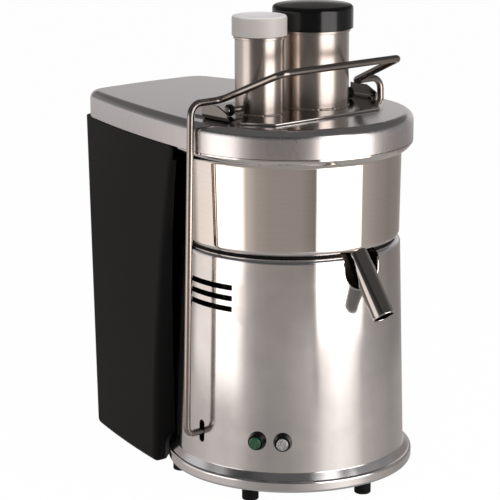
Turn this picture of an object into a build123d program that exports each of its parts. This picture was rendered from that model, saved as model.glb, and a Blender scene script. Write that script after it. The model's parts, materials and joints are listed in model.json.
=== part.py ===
"""Commercial centrifugal juicer: cone housing, spun bowl, hooded lid, two feed tubes, clamp bail, pulp bin.

Millimetres, +Z up. The pieces are drawn about the motor axis, with the spout towards -Y and the
pulp bin towards +Y, and are then shifted so that the origin is the middle of the footprint.
"""
import os
from math import asin, cos, radians, sin, sqrt

from build123d import *

# Clearances
WELD_GAP = 0.05
RUN_GAP = 0.05
SEAT_GAP = 0.3
SLIDE_GAP = 0.3
PUSHER_GAP = 0.5
FIT_GAP = 0.4

# Sheet and fasteners
SHEET = 2.0
SCREW_RADIUS = 2.0
SCREW_HEAD_RADIUS = 4.0
SCREW_HEAD_HEIGHT = 2.2
SCREW_GRIP = 8.0
SCREW_DRIVE_WIDTH = 1.0
SCREW_DRIVE_DEPTH = 1.0

# Feet
FOOT_COUNT = 6
FOOT_START = -2.0
FOOT_RADIUS = 8.3
FOOT_HEIGHT = 12.0
FOOT_EDGE_ROUND = 1.5
FOOT_INSET = 12.0
FOOT_RECESS_DEPTH = 5.0

# Base ring and base plate
RING_OVERHANG = 8.4
RING_WIDTH = 29.0
RING_FACE_HEIGHT = 11.8
RING_HEIGHT = 18.0
RING_ROUND = 2.8
RING_SHOULDER = 1.0
RING_FLOOR_RISE = 14.0
SPIGOT_HEIGHT = 6.5
SPIGOT_WALL = 4.6
BASE_PLATE_LEDGE = 8.0
BASE_PLATE_RECESS = 2.5
BASE_SLOT_COUNT = 8
BASE_SLOT_LENGTH = 30.0
BASE_SLOT_WIDTH = 5.0
BASE_SLOT_RADIUS = 58.0

# Motor housing
HOUSING_HEIGHT = 213.0
HOUSING_BASE_RADIUS = 116.6
HOUSING_TOP_RADIUS = 110.8
HOUSING_WALL = 2.5
HOUSING_LIP = 2.5
HOUSING_LIP_WIDTH = 13.0
HOUSING_TOP_ROUND = 5.0
VENT_COUNT = 3
VENT_HEIGHT = 5.5
VENT_PITCH = 10.7
VENT_TOP_DROP = 30.8
VENT_HALF_ANGLE = 17.8
VENT_CORNER = 1.2
NOTCH_WIDTH = 44.0
NOTCH_DEPTH = 34.0
NOTCH_ROUND = 20.0

# Deck under the bowl
DECK_THICKNESS = 4.0
DECK_SCREW_COUNT = 5
POCKET_WALL = 2.0

# Bowl and its seal
BOWL_SEAL_HEIGHT = 2.1
BOWL_SEAL_WIDTH = 7.0
BOWL_HEIGHT = 97.9
BOWL_SETBACK = 1.0
BOWL_FLARE = 1.2
BOWL_CORNER = 6.0
BOWL_WALL = 1.8
FLANGE_SETBACK = 0.2
FLANGE_DROP = 11.0
FLANGE_EDGE = 1.4
FLANGE_BULGE = 0.9
COLLAR_RADIUS = 22.0
COLLAR_HEIGHT = 21.4
WINDOW_WIDTH = 110.0
WINDOW_DEPTH = 13.0

# Spout
SPOUT_ANGLE = -2.4
SPOUT_RADIUS = 11.25
SPOUT_WALL = 1.2
SPOUT_ROOT_INSET = 10.0
SPOUT_ROOT_DROP = 1.1
SPOUT_SLOPE = 52.9
SPOUT_LENGTH = 71.2

# Lid
LID_GAP = 0.5
LID_HEIGHT = 27.7
LID_OVERHANG = 11.5
LID_WALL = 2.0
LID_TOP_ROUND = 9.0
LID_SIDE_ANGLE = 5.8
LID_SIDE_RADIUS = 1180.0
LID_REAR = 237.5
LID_REAR_BOW = 4.7
LID_CORNER = 25.0
GASKET_HEIGHT = 4.0
GASKET_WIDTH = 7.0

# Feed tubes and pushers
LARGE_TUBE_X = 29.5
LARGE_TUBE_RADIUS = 36.4
SMALL_TUBE_RADIUS = 24.3
TUBE_WALL = 1.2
TUBE_RISE = 77.9
LARGE_TUBE_EXTRA = 1.3
TUBE_RIM_HEIGHT = 3.0
TUBE_RIM_WIDTH = 1.4
CAP_SPACE = 2.9
SMALL_CAP_OVERHANG = 2.8
SMALL_CAP_HEIGHT = 19.2
SMALL_CAP_ROUND = 2.5
SMALL_CAP_DISH = 3.0
LARGE_CAP_OVERHANG = 4.1
LARGE_CAP_HEIGHT = 23.0
LARGE_CAP_ROUND = 4.0
LARGE_CAP_DOME = 2.2
PUSHER_WALL = 2.5
PUSHER_PLUG_HEIGHT = 5.0

# Bridge plate on the lid
BRIDGE_INSET = 22.2
BRIDGE_FRONT = 62.5
BRIDGE_LEFT_CUT = 25.0
BRIDGE_RIGHT_CUT = 39.0
BRIDGE_SIDE_FRONT = 34.0
WING_FRONT = 20.0
WING_TAIL = 17.0
WING_HEIGHT = 15.1
WING_CHAMFER_LENGTH = 14.5
WING_CHAMFER_DROP = 6.5
WING_BEND = 3.0

# Bumper studs on the feed tubes
BUMPER_RISE = 6.0
BUMPER_STUD_RADIUS = 2.8
BUMPER_STANDOFF = 12.0
BUMPER_HEAD_RADIUS = 4.0
BUMPER_HEAD_HEIGHT = 2.4
BUMPER_WASHER_RADIUS = 5.8
BUMPER_WASHER_THICKNESS = 4.5
BUMPER_WASHER_ROUND = 0.8

# Clamp bail
ROD_RADIUS = 3.5
LEG_CLEARANCE = 0.5
BAIL_SPLAY = 8.5
BAIL_SHOULDER_INSET = 11.3
BAIL_HANDLE_INSET = 11.0
BAIL_FINGER_GAP = 30.0
BAIL_HANDLE_RISE = 32.9
BAIL_HOOK_RISE = 30.0
BAIL_LEG_BEND = 12.0
BAIL_HOOK_BEND = 8.0
BAIL_SHOULDER_BEND = 9.0
BAIL_HANDLE_BEND = 8.0

# Latch blocks, guides and springs
LATCH_TRAVEL = 6.0
LATCH_SETBACK = 2.0
LATCH_BLOCK_HALF_WIDTH = 9.0
LATCH_BLOCK_HEIGHT = 16.0
LATCH_BLOCK_DEPTH = 11.4
LATCH_BLOCK_ROUND = 1.5
LATCH_GUIDE_WALL = 3.0
LATCH_SPRING_ROOM = 20.0
LATCH_SPRING_RADIUS = 4.2
LATCH_SPRING_WIRE = 0.7
LATCH_SPRING_TURNS = 5
SLOT_MARGIN = 2.0
SLOT_SIDE_GAP = 0.5
SWITCH_LENGTH = 16.0
SWITCH_DEPTH = 9.0
SWITCH_HEIGHT = 20.0
SWITCH_ROUND = 1.0

# Push buttons
START_ANGLE = -57.9
BUTTON_SPREAD = 12.6
BUTTON_RISE = 31.7
BUTTON_RADIUS = 5.85
BUTTON_TRAVEL = 2.0
BUTTON_PROUD = 2.4
BUTTON_LENGTH = 17.0
BUTTON_STEM_RADIUS = 2.0
BUTTON_CLIP_WIDTH = 1.2
BUTTON_CLIP_THICKNESS = 1.2
BUTTON_ROUND = 0.8
BEZEL_RADIUS = 9.25
BEZEL_FRONT_RADIUS = 7.6
BEZEL_PROUD = 6.8
BEZEL_EDGE = 1.0
BARREL_RADIUS = 7.4
BARREL_LENGTH = 20.0
BARREL_END_WALL = 3.0
BEZEL_NUT_RADIUS = 10.5
BEZEL_NUT_HEIGHT = 3.0
BUTTON_SPRING_RADIUS = 3.6
BUTTON_SPRING_WIRE = 0.45
BUTTON_SPRING_TURNS = 4
SWITCH_BLOCK_LENGTH = 13.0
SWITCH_BLOCK_SIDE = 15.0
SWITCH_BLOCK_ROOM = 0.8
SWITCH_SLEEVE_WALL = 1.4

# Motor
SHAFT_RADIUS = 7.5
SHAFT_NOSE_RADIUS = 5.0
SHAFT_SEAL_RADIUS = 15.0
SHAFT_SEAL_LIP = 4.0
MOTOR_RADIUS = 55.0
MOTOR_WALL = 3.0
MOTOR_CAN_LENGTH = 126.0
BELL_FLANGE_RADIUS = 64.0
BELL_FLANGE = 4.0
BELL_HEIGHT = 14.0
STATOR_LENGTH = 70.0
STATOR_BORE_RADIUS = 31.0
STATOR_SLOT_COUNT = 12
STATOR_SLOT_WIDTH = 4.0
STATOR_SLOT_DEPTH = 7.0
WINDING_HEIGHT = 14.0
WINDING_ROUND = 3.0
WINDING_BORE_GAP = 2.0
WINDING_CAN_GAP = 4.0
AIR_GAP = 0.5
BEARING_RADIUS = 16.0
BEARING_HEIGHT = 9.0
BEARING_GROOVE = 0.6
MOTOR_SCREW_COUNT = 4
FAN_RADIUS = 46.0
FAN_HEIGHT = 15.0
FAN_BLADE_COUNT = 9
FAN_BLADE = 2.0
FAN_HUB_RADIUS = 13.0
FAN_GAP = 5.0

# Hub, basket and grater
HUB_RADIUS = 34.0
HUB_HEIGHT = 13.0
HUB_RISE = 27.4
HUB_SKIRT_HEIGHT = 14.0
HUB_SKIRT_WALL = 4.0
HUB_SKIRT_GAP = 4.0
HUB_CHAMFER = 2.0
BASKET_BASE_RADIUS = 62.0
BASKET_CLEARANCE = 5.8
BASKET_WALL = 1.5
BASKET_RIM_DROP = 7.0
BASKET_RIM_WIDTH = 4.0
BASKET_SLOT_COUNT = 36
BASKET_SLOT_WIDTH = 1.6
BASKET_SLOT_FOOT = 10.2
BASKET_SLOT_HEAD = 7.6
GRATER_CLEARANCE = 2.0
GRATER_THICKNESS = 3.0
GRATER_RIB_COUNT = 12
GRATER_RIB = 1.4
NUT_RADIUS = 9.0
NUT_HEIGHT = 6.0
FEED_GAP = 3.0

# Electrical pieces in the base
CAPACITOR_RADIUS = 17.0
CAPACITOR_HEIGHT = 46.0
CAPACITOR_ROUND = 2.0
CAPACITOR_ANGLE = 201.5
CAPACITOR_GAP = 8.0
TERMINAL_SIZE = (34.0, 18.0, 16.0)
TERMINAL_ANGLE = 146.3
TERMINAL_INSET = 23.9
TERMINAL_SCREW_COUNT = 4
TERMINAL_CHAMFER = 1.5
GLAND_ANGLE = 112.0
GLAND_RISE = 18.5
GLAND_RADIUS = 11.0
GLAND_BARREL_RADIUS = 8.0
GLAND_BORE_RADIUS = 3.8
GLAND_FLANGE = 5.0
GLAND_DOME = 9.0
GLAND_DOME_RADIUS = 8.8
GLAND_TIP_RADIUS = 6.0
GLAND_NUT_HEIGHT = 4.0

# Pulp bin
BIN_OVERLAP = 1.0
BIN_REAR_OVERLAP = 6.2
BIN_CORNER = 12.0
BIN_WALL = 3.0
BIN_DRAFT = 1.05
BIN_FLANGE_GAP = 1.7
BIN_HOUSING_GAP = 3.0
BIN_RING_GAP = 4.0
BIN_HORN_TOP = 39.0
BIN_HORN_MIDDLE = 74.0
BIN_HORN_FOOT = 90.0
BIN_HORN_ROUND = 6.0
BIN_MOUTH_WIDTH = 120.0
BIN_MOUTH_DEPTH = 25.0
BIN_BOTTOM_ROUND = 7.0

# Heights worked out from the driving dimensions
RING_BOTTOM = FOOT_HEIGHT
RING_FLOOR = RING_BOTTOM + RING_FLOOR_RISE
HOUSING_BOTTOM = RING_BOTTOM + RING_HEIGHT
HOUSING_TOP = HOUSING_BOTTOM + HOUSING_HEIGHT
DECK_TOP = HOUSING_TOP - HOUSING_LIP
DECK_BOTTOM = DECK_TOP - DECK_THICKNESS
BOWL_BOTTOM = HOUSING_TOP + BOWL_SEAL_HEIGHT
BOWL_RIM = BOWL_BOTTOM + BOWL_HEIGHT
LID_BOTTOM = BOWL_RIM + LID_GAP
LID_TOP = LID_BOTTOM + LID_HEIGHT
WING_TOP = LID_TOP + WING_HEIGHT
BASE_PLATE_TOP = RING_BOTTOM + BASE_PLATE_RECESS
HUB_BOTTOM = BOWL_BOTTOM + HUB_RISE
HUB_TOP = HUB_BOTTOM + HUB_HEIGHT
GRATER_BOTTOM = HUB_TOP + SHEET
NUT_BOTTOM = GRATER_BOTTOM + GRATER_THICKNESS
TUBE_BOTTOM = NUT_BOTTOM + NUT_HEIGHT + FEED_GAP
BASKET_RIM = BOWL_RIM - BASKET_RIM_DROP
SMALL_TUBE_TOP = LID_TOP + TUBE_RISE
LARGE_TUBE_TOP = SMALL_TUBE_TOP + LARGE_TUBE_EXTRA
BAIL_TOP = WING_TOP + SEAT_GAP + ROD_RADIUS
BAIL_HOOK = HOUSING_BOTTOM + BAIL_HOOK_RISE
BUTTON_Z = HOUSING_BOTTOM + BUTTON_RISE
GLAND_Z = HOUSING_BOTTOM + GLAND_RISE
CAN_TOP = DECK_BOTTOM - BELL_HEIGHT
CAN_BOTTOM = CAN_TOP - MOTOR_CAN_LENGTH
MOTOR_BOTTOM = CAN_BOTTOM - BELL_HEIGHT
STATOR_BOTTOM = (CAN_TOP + CAN_BOTTOM - STATOR_LENGTH) / 2
FAN_TOP = MOTOR_BOTTOM - FAN_GAP
BIN_TOP = BOWL_RIM

# Radii and places worked out from the driving dimensions
RING_RADIUS = HOUSING_BASE_RADIUS + RING_OVERHANG
RING_BORE_RADIUS = RING_RADIUS - RING_WIDTH
BASE_PLATE_RADIUS = RING_BORE_RADIUS + BASE_PLATE_LEDGE
FOOT_CIRCLE_RADIUS = RING_RADIUS - FOOT_INSET
BOWL_BASE_RADIUS = HOUSING_TOP_RADIUS - BOWL_SETBACK
BOWL_TOP_RADIUS = BOWL_BASE_RADIUS + BOWL_FLARE
LID_RADIUS = BOWL_TOP_RADIUS + LID_OVERHANG
FLANGE_RADIUS = LID_RADIUS - FLANGE_SETBACK
SPOUT_ROOT_RADIUS = BOWL_BASE_RADIUS - SPOUT_ROOT_INSET
BASKET_TOP_RADIUS = BOWL_TOP_RADIUS - BOWL_WALL - BASKET_CLEARANCE - BASKET_RIM_WIDTH
GRATER_RADIUS = BASKET_BASE_RADIUS - 2 * BASKET_WALL - GRATER_CLEARANCE
STOP_ANGLE = START_ANGLE + BUTTON_SPREAD
SPIGOT_RADIUS = HOUSING_BASE_RADIUS - HOUSING_WALL - FIT_GAP
SMALL_CAP_RADIUS = SMALL_TUBE_RADIUS + SMALL_CAP_OVERHANG
LARGE_CAP_RADIUS = LARGE_TUBE_RADIUS + LARGE_CAP_OVERHANG
SMALL_TUBE_X = LARGE_TUBE_X - LARGE_CAP_RADIUS - SMALL_CAP_RADIUS - CAP_SPACE
BRIDGE_HALF_WIDTH = LID_RADIUS - BRIDGE_INSET
BAIL_LEG_X = LID_RADIUS + LEG_CLEARANCE + ROD_RADIUS
BAIL_FOOT_X = BAIL_LEG_X + BAIL_SPLAY
BAIL_SHOULDER_HALF = BRIDGE_HALF_WIDTH - BAIL_SHOULDER_INSET
BAIL_HANDLE_HALF = BAIL_SHOULDER_HALF - BAIL_HANDLE_INSET
BAIL_HANDLE_FORWARD = LARGE_CAP_RADIUS + BAIL_FINGER_GAP + ROD_RADIUS
GUIDE_HALF_WIDTH = LATCH_BLOCK_HALF_WIDTH + SLIDE_GAP + LATCH_GUIDE_WALL
GUIDE_REACH = GUIDE_HALF_WIDTH + LATCH_SETBACK
GUIDE_OUTER_X = sqrt((SPIGOT_RADIUS - SPIGOT_WALL - FIT_GAP) ** 2 - GUIDE_REACH ** 2)
BLOCK_INNER_X = GUIDE_OUTER_X - LATCH_BLOCK_DEPTH
GUIDE_INNER_X = BLOCK_INNER_X - SLIDE_GAP - LATCH_GUIDE_WALL
BLOCK_TOP = BAIL_HOOK + LATCH_BLOCK_HEIGHT / 2
GUIDE_TOP = BLOCK_TOP + LATCH_SPRING_ROOM
DECK_RADIUS = HOUSING_TOP_RADIUS - HOUSING_WALL - FIT_GAP
LIP_BORE_RADIUS = HOUSING_TOP_RADIUS - HOUSING_LIP_WIDTH
BASE_SCREW_RADIUS = (RING_BORE_RADIUS + BASE_PLATE_RADIUS) / 2
CAPACITOR_DISTANCE = RING_BORE_RADIUS - CAPACITOR_GAP - CAPACITOR_RADIUS
TERMINAL_DISTANCE = RING_BORE_RADIUS - TERMINAL_INSET
BIN_RING_RADIUS = RING_RADIUS + BIN_RING_GAP
BIN_HOUSING_RADIUS = max(HOUSING_BASE_RADIUS, BOWL_TOP_RADIUS) + BIN_HOUSING_GAP
BIN_FLANGE_RADIUS = FLANGE_RADIUS + BIN_FLANGE_GAP
SPOUT_FORWARD = cos(radians(SPOUT_SLOPE))
SPOUT_DOWN = sin(radians(SPOUT_SLOPE))
SPOUT_TURN = cos(radians(SPOUT_ANGLE))
SPOUT_TIP_RADIUS = SPOUT_ROOT_RADIUS + SPOUT_LENGTH * SPOUT_FORWARD
FRONT_REACH = SPOUT_TIP_RADIUS * SPOUT_TURN + SPOUT_RADIUS * sqrt(1 - (SPOUT_FORWARD * SPOUT_TURN) ** 2)
BACK_REACH = LID_REAR + LID_REAR_BOW + BIN_REAR_OVERLAP
AXIS_Y = (FRONT_REACH - BACK_REACH) / 2


def housing_radius(height):
    """Outer radius of the cone housing at a height."""
    share = (height - HOUSING_BOTTOM) / HOUSING_HEIGHT
    return HOUSING_BASE_RADIUS + (HOUSING_TOP_RADIUS - HOUSING_BASE_RADIUS) * share


def narrowest(height, reach):
    """Least outer radius of the housing within a reach of a height."""
    return min(housing_radius(height - reach), housing_radius(height + reach))


def widest(height, reach):
    """Greatest outer radius of the housing within a reach of a height."""
    return max(housing_radius(height - reach), housing_radius(height + reach))


def turned(*edges):
    """Solid of revolution about Z from edges drawn in the XZ plane."""
    return revolve(make_face(edges), Axis.Z)


def turned_polygon(points):
    """Solid of revolution from (radius, height) corners."""
    return turned(Polyline([(r, 0, z) for r, z in points], close=True))


def disc(radius, bottom, top):
    """Plain cylinder on the axis."""
    return Pos(0, 0, bottom) * Cylinder(radius, top - bottom, align=(Align.CENTER, Align.CENTER, Align.MIN))


def ring(inner, outer, bottom, top):
    """Plain tube on the axis."""
    return disc(outer, bottom, top) - disc(inner, bottom, top)


def block(low, high):
    """Box between two corners."""
    size = [b - a for a, b in zip(low, high)]
    middle = [(a + b) / 2 for a, b in zip(low, high)]
    return Pos(*middle) * Box(*size)


def round_edge(start, centre, end, radius):
    """Quarter round from start to end about a centre, all as (radius, height)."""
    half = ((start[0] + end[0]) / 2 - centre[0], (start[1] + end[1]) / 2 - centre[1])
    reach = radius / sqrt(half[0] ** 2 + half[1] ** 2)
    middle = (centre[0] + half[0] * reach, 0, centre[1] + half[1] * reach)
    return ThreePointArc((start[0], 0, start[1]), middle, (end[0], 0, end[1]))


def path(points):
    """Open run of straight edges through (radius, height) corners."""
    return [Line((a[0], 0, a[1]), (b[0], 0, b[1])) for a, b in zip(points, points[1:])]


def facing(angle, height):
    """Frame whose Z runs out from the axis at an angle from the spout side."""
    return Rot(0, 0, angle) * Pos(0, 0, height) * Rot(90, 0, 0)


def around(count, shape, start=0.0):
    """Copies of a shape spread evenly about the axis."""
    return [Rot(0, 0, start + 360.0 * i / count) * shape for i in range(count)]


def group(shapes):
    """Separate solids kept together in one node."""
    return Compound(list(shapes))


def screw(shank_length):
    """Pan-head screw along +Z with its head seat at the origin."""
    shank = disc(SCREW_RADIUS, 0, shank_length)
    head = disc(SCREW_HEAD_RADIUS, -SCREW_HEAD_HEIGHT, 0)
    head = fillet(head.edges().sort_by(Axis.Z)[0], SCREW_HEAD_HEIGHT / 2)
    half = SCREW_DRIVE_WIDTH / 2
    reach = SCREW_HEAD_RADIUS / 2
    drive = block((-half, -reach, -SCREW_HEAD_HEIGHT), (half, reach, SCREW_DRIVE_DEPTH - SCREW_HEAD_HEIGHT))
    return shank + head - drive - Rot(0, 0, 90) * drive


def screw_hole(shank_length):
    """Clearance for a screw's shank."""
    return disc(SCREW_RADIUS + WELD_GAP, -SCREW_HEAD_HEIGHT, shank_length + WELD_GAP)


def hex_nut(radius, bore, bottom, top):
    """Six-sided nut on the axis."""
    body = extrude(RegularPolygon(radius, 6), top - bottom)
    return Pos(0, 0, bottom) * body - disc(bore, bottom, top)


def coil(radius, wire, turns, bottom, top):
    """Open coil spring on the axis between two seats."""
    height = top - bottom - 2 * (wire + SEAT_GAP)
    line = Helix(pitch=height / turns, height=height, radius=radius)
    section = Plane(origin=line @ 0, z_dir=line % 0) * Circle(wire)
    return Pos(0, 0, bottom + wire + SEAT_GAP) * sweep(section, line)


def foot_place():
    """Seat of the first foot's screw head."""
    return Pos(0, -FOOT_CIRCLE_RADIUS, FOOT_RECESS_DEPTH)


FOOT_SHANK = FOOT_HEIGHT - FOOT_RECESS_DEPTH + SCREW_GRIP
BASE_SCREW_PLACE = Pos(0, -BASE_SCREW_RADIUS, BASE_PLATE_TOP - SHEET)
BASE_SCREW_SHANK = SHEET + SCREW_GRIP
DECK_SCREW_PLACE = Pos(0, -(LIP_BORE_RADIUS + DECK_RADIUS) / 2, DECK_BOTTOM)
DECK_SCREW_SHANK = DECK_THICKNESS + HOUSING_LIP / 2
MOTOR_SCREW_PLACE = Pos(0, -(MOTOR_RADIUS + BELL_FLANGE_RADIUS) / 2, DECK_TOP) * Rot(180, 0, 0)
MOTOR_SCREW_SHANK = DECK_THICKNESS + BELL_FLANGE
BASE_SCREW_START = FOOT_START + 180.0 / FOOT_COUNT
DECK_SCREW_START = 180.0 / DECK_SCREW_COUNT
MOTOR_SCREW_START = 180.0 / MOTOR_SCREW_COUNT


def rubber_feet():
    foot = disc(FOOT_RADIUS, 0, FOOT_HEIGHT)
    foot = fillet(foot.edges().sort_by(Axis.Z)[0], FOOT_EDGE_ROUND)
    foot -= disc(SCREW_HEAD_RADIUS + FIT_GAP, 0, FOOT_RECESS_DEPTH)
    foot -= disc(SCREW_RADIUS + WELD_GAP, 0, FOOT_HEIGHT)
    return group(around(FOOT_COUNT, Pos(0, -FOOT_CIRCLE_RADIUS, 0) * foot, FOOT_START))


def foot_screws():
    return group(around(FOOT_COUNT, foot_place() * screw(FOOT_SHANK), FOOT_START))


def base_ring():
    face_top = RING_BOTTOM + RING_FACE_HEIGHT
    low = (RING_RADIUS - RING_ROUND, RING_BOTTOM)
    low_end = (RING_RADIUS, RING_BOTTOM + RING_ROUND)
    high = (RING_RADIUS, face_top - RING_ROUND)
    high_end = (RING_RADIUS - RING_ROUND, face_top)
    spigot_bore = SPIGOT_RADIUS - SPIGOT_WALL
    plate_bore = BASE_PLATE_RADIUS + FIT_GAP
    edges = path([
        (RING_BORE_RADIUS, BASE_PLATE_TOP),
        (plate_bore, BASE_PLATE_TOP),
        (plate_bore, RING_BOTTOM),
        low,
    ])
    edges += [round_edge(low, (low[0], low_end[1]), low_end, RING_ROUND)]
    edges += path([low_end, high])
    edges += [round_edge(high, (high_end[0], high[1]), high_end, RING_ROUND)]
    edges += path([
        high_end,
        (HOUSING_BASE_RADIUS + RING_SHOULDER, HOUSING_BOTTOM),
        (SPIGOT_RADIUS, HOUSING_BOTTOM),
        (SPIGOT_RADIUS, HOUSING_BOTTOM + SPIGOT_HEIGHT),
        (spigot_bore, HOUSING_BOTTOM + SPIGOT_HEIGHT),
        (spigot_bore, RING_FLOOR),
        (RING_BORE_RADIUS, RING_FLOOR),
        (RING_BORE_RADIUS, BASE_PLATE_TOP),
    ])
    body = turned(*edges)
    holes = around(FOOT_COUNT, foot_place() * screw_hole(FOOT_SHANK), FOOT_START)
    holes += around(FOOT_COUNT, BASE_SCREW_PLACE * screw_hole(BASE_SCREW_SHANK), BASE_SCREW_START)
    return body - holes


def base_plate():
    plate = disc(BASE_PLATE_RADIUS, BASE_PLATE_TOP - SHEET, BASE_PLATE_TOP)
    slot = extrude(SlotOverall(BASE_SLOT_LENGTH, BASE_SLOT_WIDTH, rotation=90), 4 * SHEET, both=True)
    slot = Pos(0, -BASE_SLOT_RADIUS, BASE_PLATE_TOP) * slot
    step = 180.0 / (BASE_SLOT_COUNT - 1)
    slots = [Rot(0, 0, i * step - 90) * slot for i in range(BASE_SLOT_COUNT)]
    holes = around(FOOT_COUNT, BASE_SCREW_PLACE * screw_hole(BASE_SCREW_SHANK), BASE_SCREW_START)
    return plate - slots - holes


def base_screws():
    return group(around(FOOT_COUNT, BASE_SCREW_PLACE * screw(BASE_SCREW_SHANK), BASE_SCREW_START))


def notch_cutter(widen, deepen, inner_radius):
    """U-shaped cut for the spout through the front of the housing."""
    width = NOTCH_WIDTH + 2 * widen
    depth = NOTCH_DEPTH + deepen
    outline = Rectangle(width, 2 * depth)
    outline = fillet(outline.vertices().group_by(Axis.Y)[0], NOTCH_ROUND + widen)
    cutter = extrude(outline, RING_RADIUS - inner_radius)
    return facing(SPOUT_ANGLE, HOUSING_TOP) * Pos(0, 0, inner_radius) * cutter


def vent_cutter(height):
    """Long vent through the housing wall, centred on +X."""
    reach = max(HOUSING_BASE_RADIUS, HOUSING_TOP_RADIUS) + HOUSING_WALL
    half = VENT_HEIGHT / 2
    inner = min(HOUSING_BASE_RADIUS, HOUSING_TOP_RADIUS) - 4 * HOUSING_WALL
    face = Rot(0, 0, -VENT_HALF_ANGLE) * make_face(
        Polyline([(inner, 0, height - half), (reach, 0, height - half), (reach, 0, height + half),
                  (inner, 0, height + half)], close=True))
    cutter = revolve(face, Axis.Z, 2 * VENT_HALF_ANGLE)
    corners = [e for e in cutter.edges().filter_by(GeomType.LINE) if abs(e.tangent_at(0).Z) < 0.5]
    return fillet(corners, VENT_CORNER)


def latch_slot():
    """Tall slot on the +X side in which the bail's hook rides."""
    half = ROD_RADIUS + SLOT_SIDE_GAP
    low = BAIL_HOOK - ROD_RADIUS - LATCH_TRAVEL - SLOT_MARGIN
    high = BAIL_HOOK + ROD_RADIUS + LATCH_TRAVEL + SLOT_MARGIN
    outline = SlotOverall(high - low, 2 * half, rotation=90)
    cutter = extrude(outline, RING_RADIUS - GUIDE_OUTER_X)
    return Pos(0, LATCH_SETBACK, 0) * facing(90, (low + high) / 2) * Pos(0, 0, GUIDE_OUTER_X) * cutter


def button_frames():
    return [facing(START_ANGLE, BUTTON_Z), facing(STOP_ANGLE, BUTTON_Z)]


def motor_housing():
    round_z = HOUSING_TOP - HOUSING_TOP_ROUND
    side = (housing_radius(round_z), round_z)
    crown = (side[0] - HOUSING_TOP_ROUND, HOUSING_TOP)
    lip_z = HOUSING_TOP - HOUSING_LIP
    edges = path([
        (HOUSING_BASE_RADIUS - HOUSING_WALL, HOUSING_BOTTOM),
        (HOUSING_BASE_RADIUS, HOUSING_BOTTOM),
        side,
    ])
    edges += [round_edge(side, (crown[0], round_z), crown, HOUSING_TOP_ROUND)]
    edges += path([
        crown,
        (LIP_BORE_RADIUS, HOUSING_TOP),
        (LIP_BORE_RADIUS, lip_z),
        (housing_radius(lip_z) - HOUSING_WALL, lip_z),
        (HOUSING_BASE_RADIUS - HOUSING_WALL, HOUSING_BOTTOM),
    ])
    body = turned(*edges)
    body -= notch_cutter(0, 0, LIP_BORE_RADIUS / 2)
    for i in range(VENT_COUNT):
        vent = vent_cutter(HOUSING_TOP - VENT_TOP_DROP - i * VENT_PITCH)
        body -= vent
        body -= Rot(0, 0, 180) * vent
    body -= latch_slot()
    body -= mirror(latch_slot(), Plane.YZ)
    for frame in button_frames():
        body -= frame * disc(BARREL_RADIUS + WELD_GAP, GUIDE_INNER_X, RING_RADIUS)
    body -= facing(GLAND_ANGLE, GLAND_Z) * disc(GLAND_BARREL_RADIUS + WELD_GAP, GUIDE_INNER_X, RING_RADIUS)
    holes = around(DECK_SCREW_COUNT, DECK_SCREW_PLACE * screw_hole(DECK_SCREW_SHANK), DECK_SCREW_START)
    return body - holes


def spout_frame():
    """Frame at the spout's root whose Z runs down the spout."""
    root = facing(SPOUT_ANGLE, BOWL_BOTTOM - SPOUT_ROOT_DROP) * Pos(0, 0, SPOUT_ROOT_RADIUS)
    return root * Rot(SPOUT_SLOPE, 0, 0)


def pocket_back():
    """Radius at which the spout's pocket ends behind the spout."""
    rise = BOWL_BOTTOM - SPOUT_ROOT_DROP - DECK_TOP
    middle = SPOUT_ROOT_RADIUS - rise * SPOUT_FORWARD / SPOUT_DOWN
    return middle - SPOUT_RADIUS / SPOUT_DOWN - 2 * POCKET_WALL


def top_deck():
    deck = disc(DECK_RADIUS, DECK_BOTTOM, DECK_TOP)
    shell = notch_cutter(2 * POCKET_WALL, 2 * POCKET_WALL, pocket_back() - POCKET_WALL)
    shell = shell & disc(DECK_RADIUS, HOUSING_BOTTOM, DECK_TOP)
    deck = deck + shell - notch_cutter(POCKET_WALL, POCKET_WALL, pocket_back())
    deck -= disc(SHAFT_SEAL_RADIUS + WELD_GAP, DECK_BOTTOM, DECK_TOP)
    holes = around(DECK_SCREW_COUNT, DECK_SCREW_PLACE * screw_hole(DECK_SCREW_SHANK), DECK_SCREW_START)
    holes += around(MOTOR_SCREW_COUNT, MOTOR_SCREW_PLACE * screw_hole(MOTOR_SCREW_SHANK), MOTOR_SCREW_START)
    return deck - holes


def deck_screws():
    return group(around(DECK_SCREW_COUNT, DECK_SCREW_PLACE * screw(DECK_SCREW_SHANK), DECK_SCREW_START))


def shaft_seal():
    bore = SHAFT_RADIUS + RUN_GAP
    seal = ring(bore, SHAFT_SEAL_RADIUS, DECK_BOTTOM, DECK_TOP)
    return seal + ring(bore, SHAFT_RADIUS + SHAFT_SEAL_LIP, DECK_TOP, DECK_TOP + SHEET)


def bowl_seal():
    outer = HOUSING_TOP_RADIUS - HOUSING_TOP_ROUND - FIT_GAP
    seal = ring(outer - BOWL_SEAL_WIDTH, outer, HOUSING_TOP, BOWL_BOTTOM)
    return seal - notch_cutter(0, 0, LIP_BORE_RADIUS / 2)


def bowl_outside():
    """Outer face of the bowl, from its floor to its rim."""
    floor_end = (BOWL_BASE_RADIUS - BOWL_CORNER, BOWL_BOTTOM)
    wall_start = (BOWL_BASE_RADIUS, BOWL_BOTTOM + BOWL_CORNER)
    wall_end = (BOWL_TOP_RADIUS, BOWL_RIM - FLANGE_DROP)
    lip = (FLANGE_RADIUS, BOWL_RIM - FLANGE_EDGE)
    middle = ((wall_end[0] + lip[0]) / 2 + FLANGE_BULGE, 0, (wall_end[1] + lip[1]) / 2 - FLANGE_BULGE)
    edges = [round_edge(floor_end, (floor_end[0], wall_start[1]), wall_start, BOWL_CORNER)]
    edges += path([wall_start, wall_end])
    edges += [ThreePointArc((wall_end[0], 0, wall_end[1]), middle, (lip[0], 0, lip[1]))]
    return edges, floor_end, lip


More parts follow.
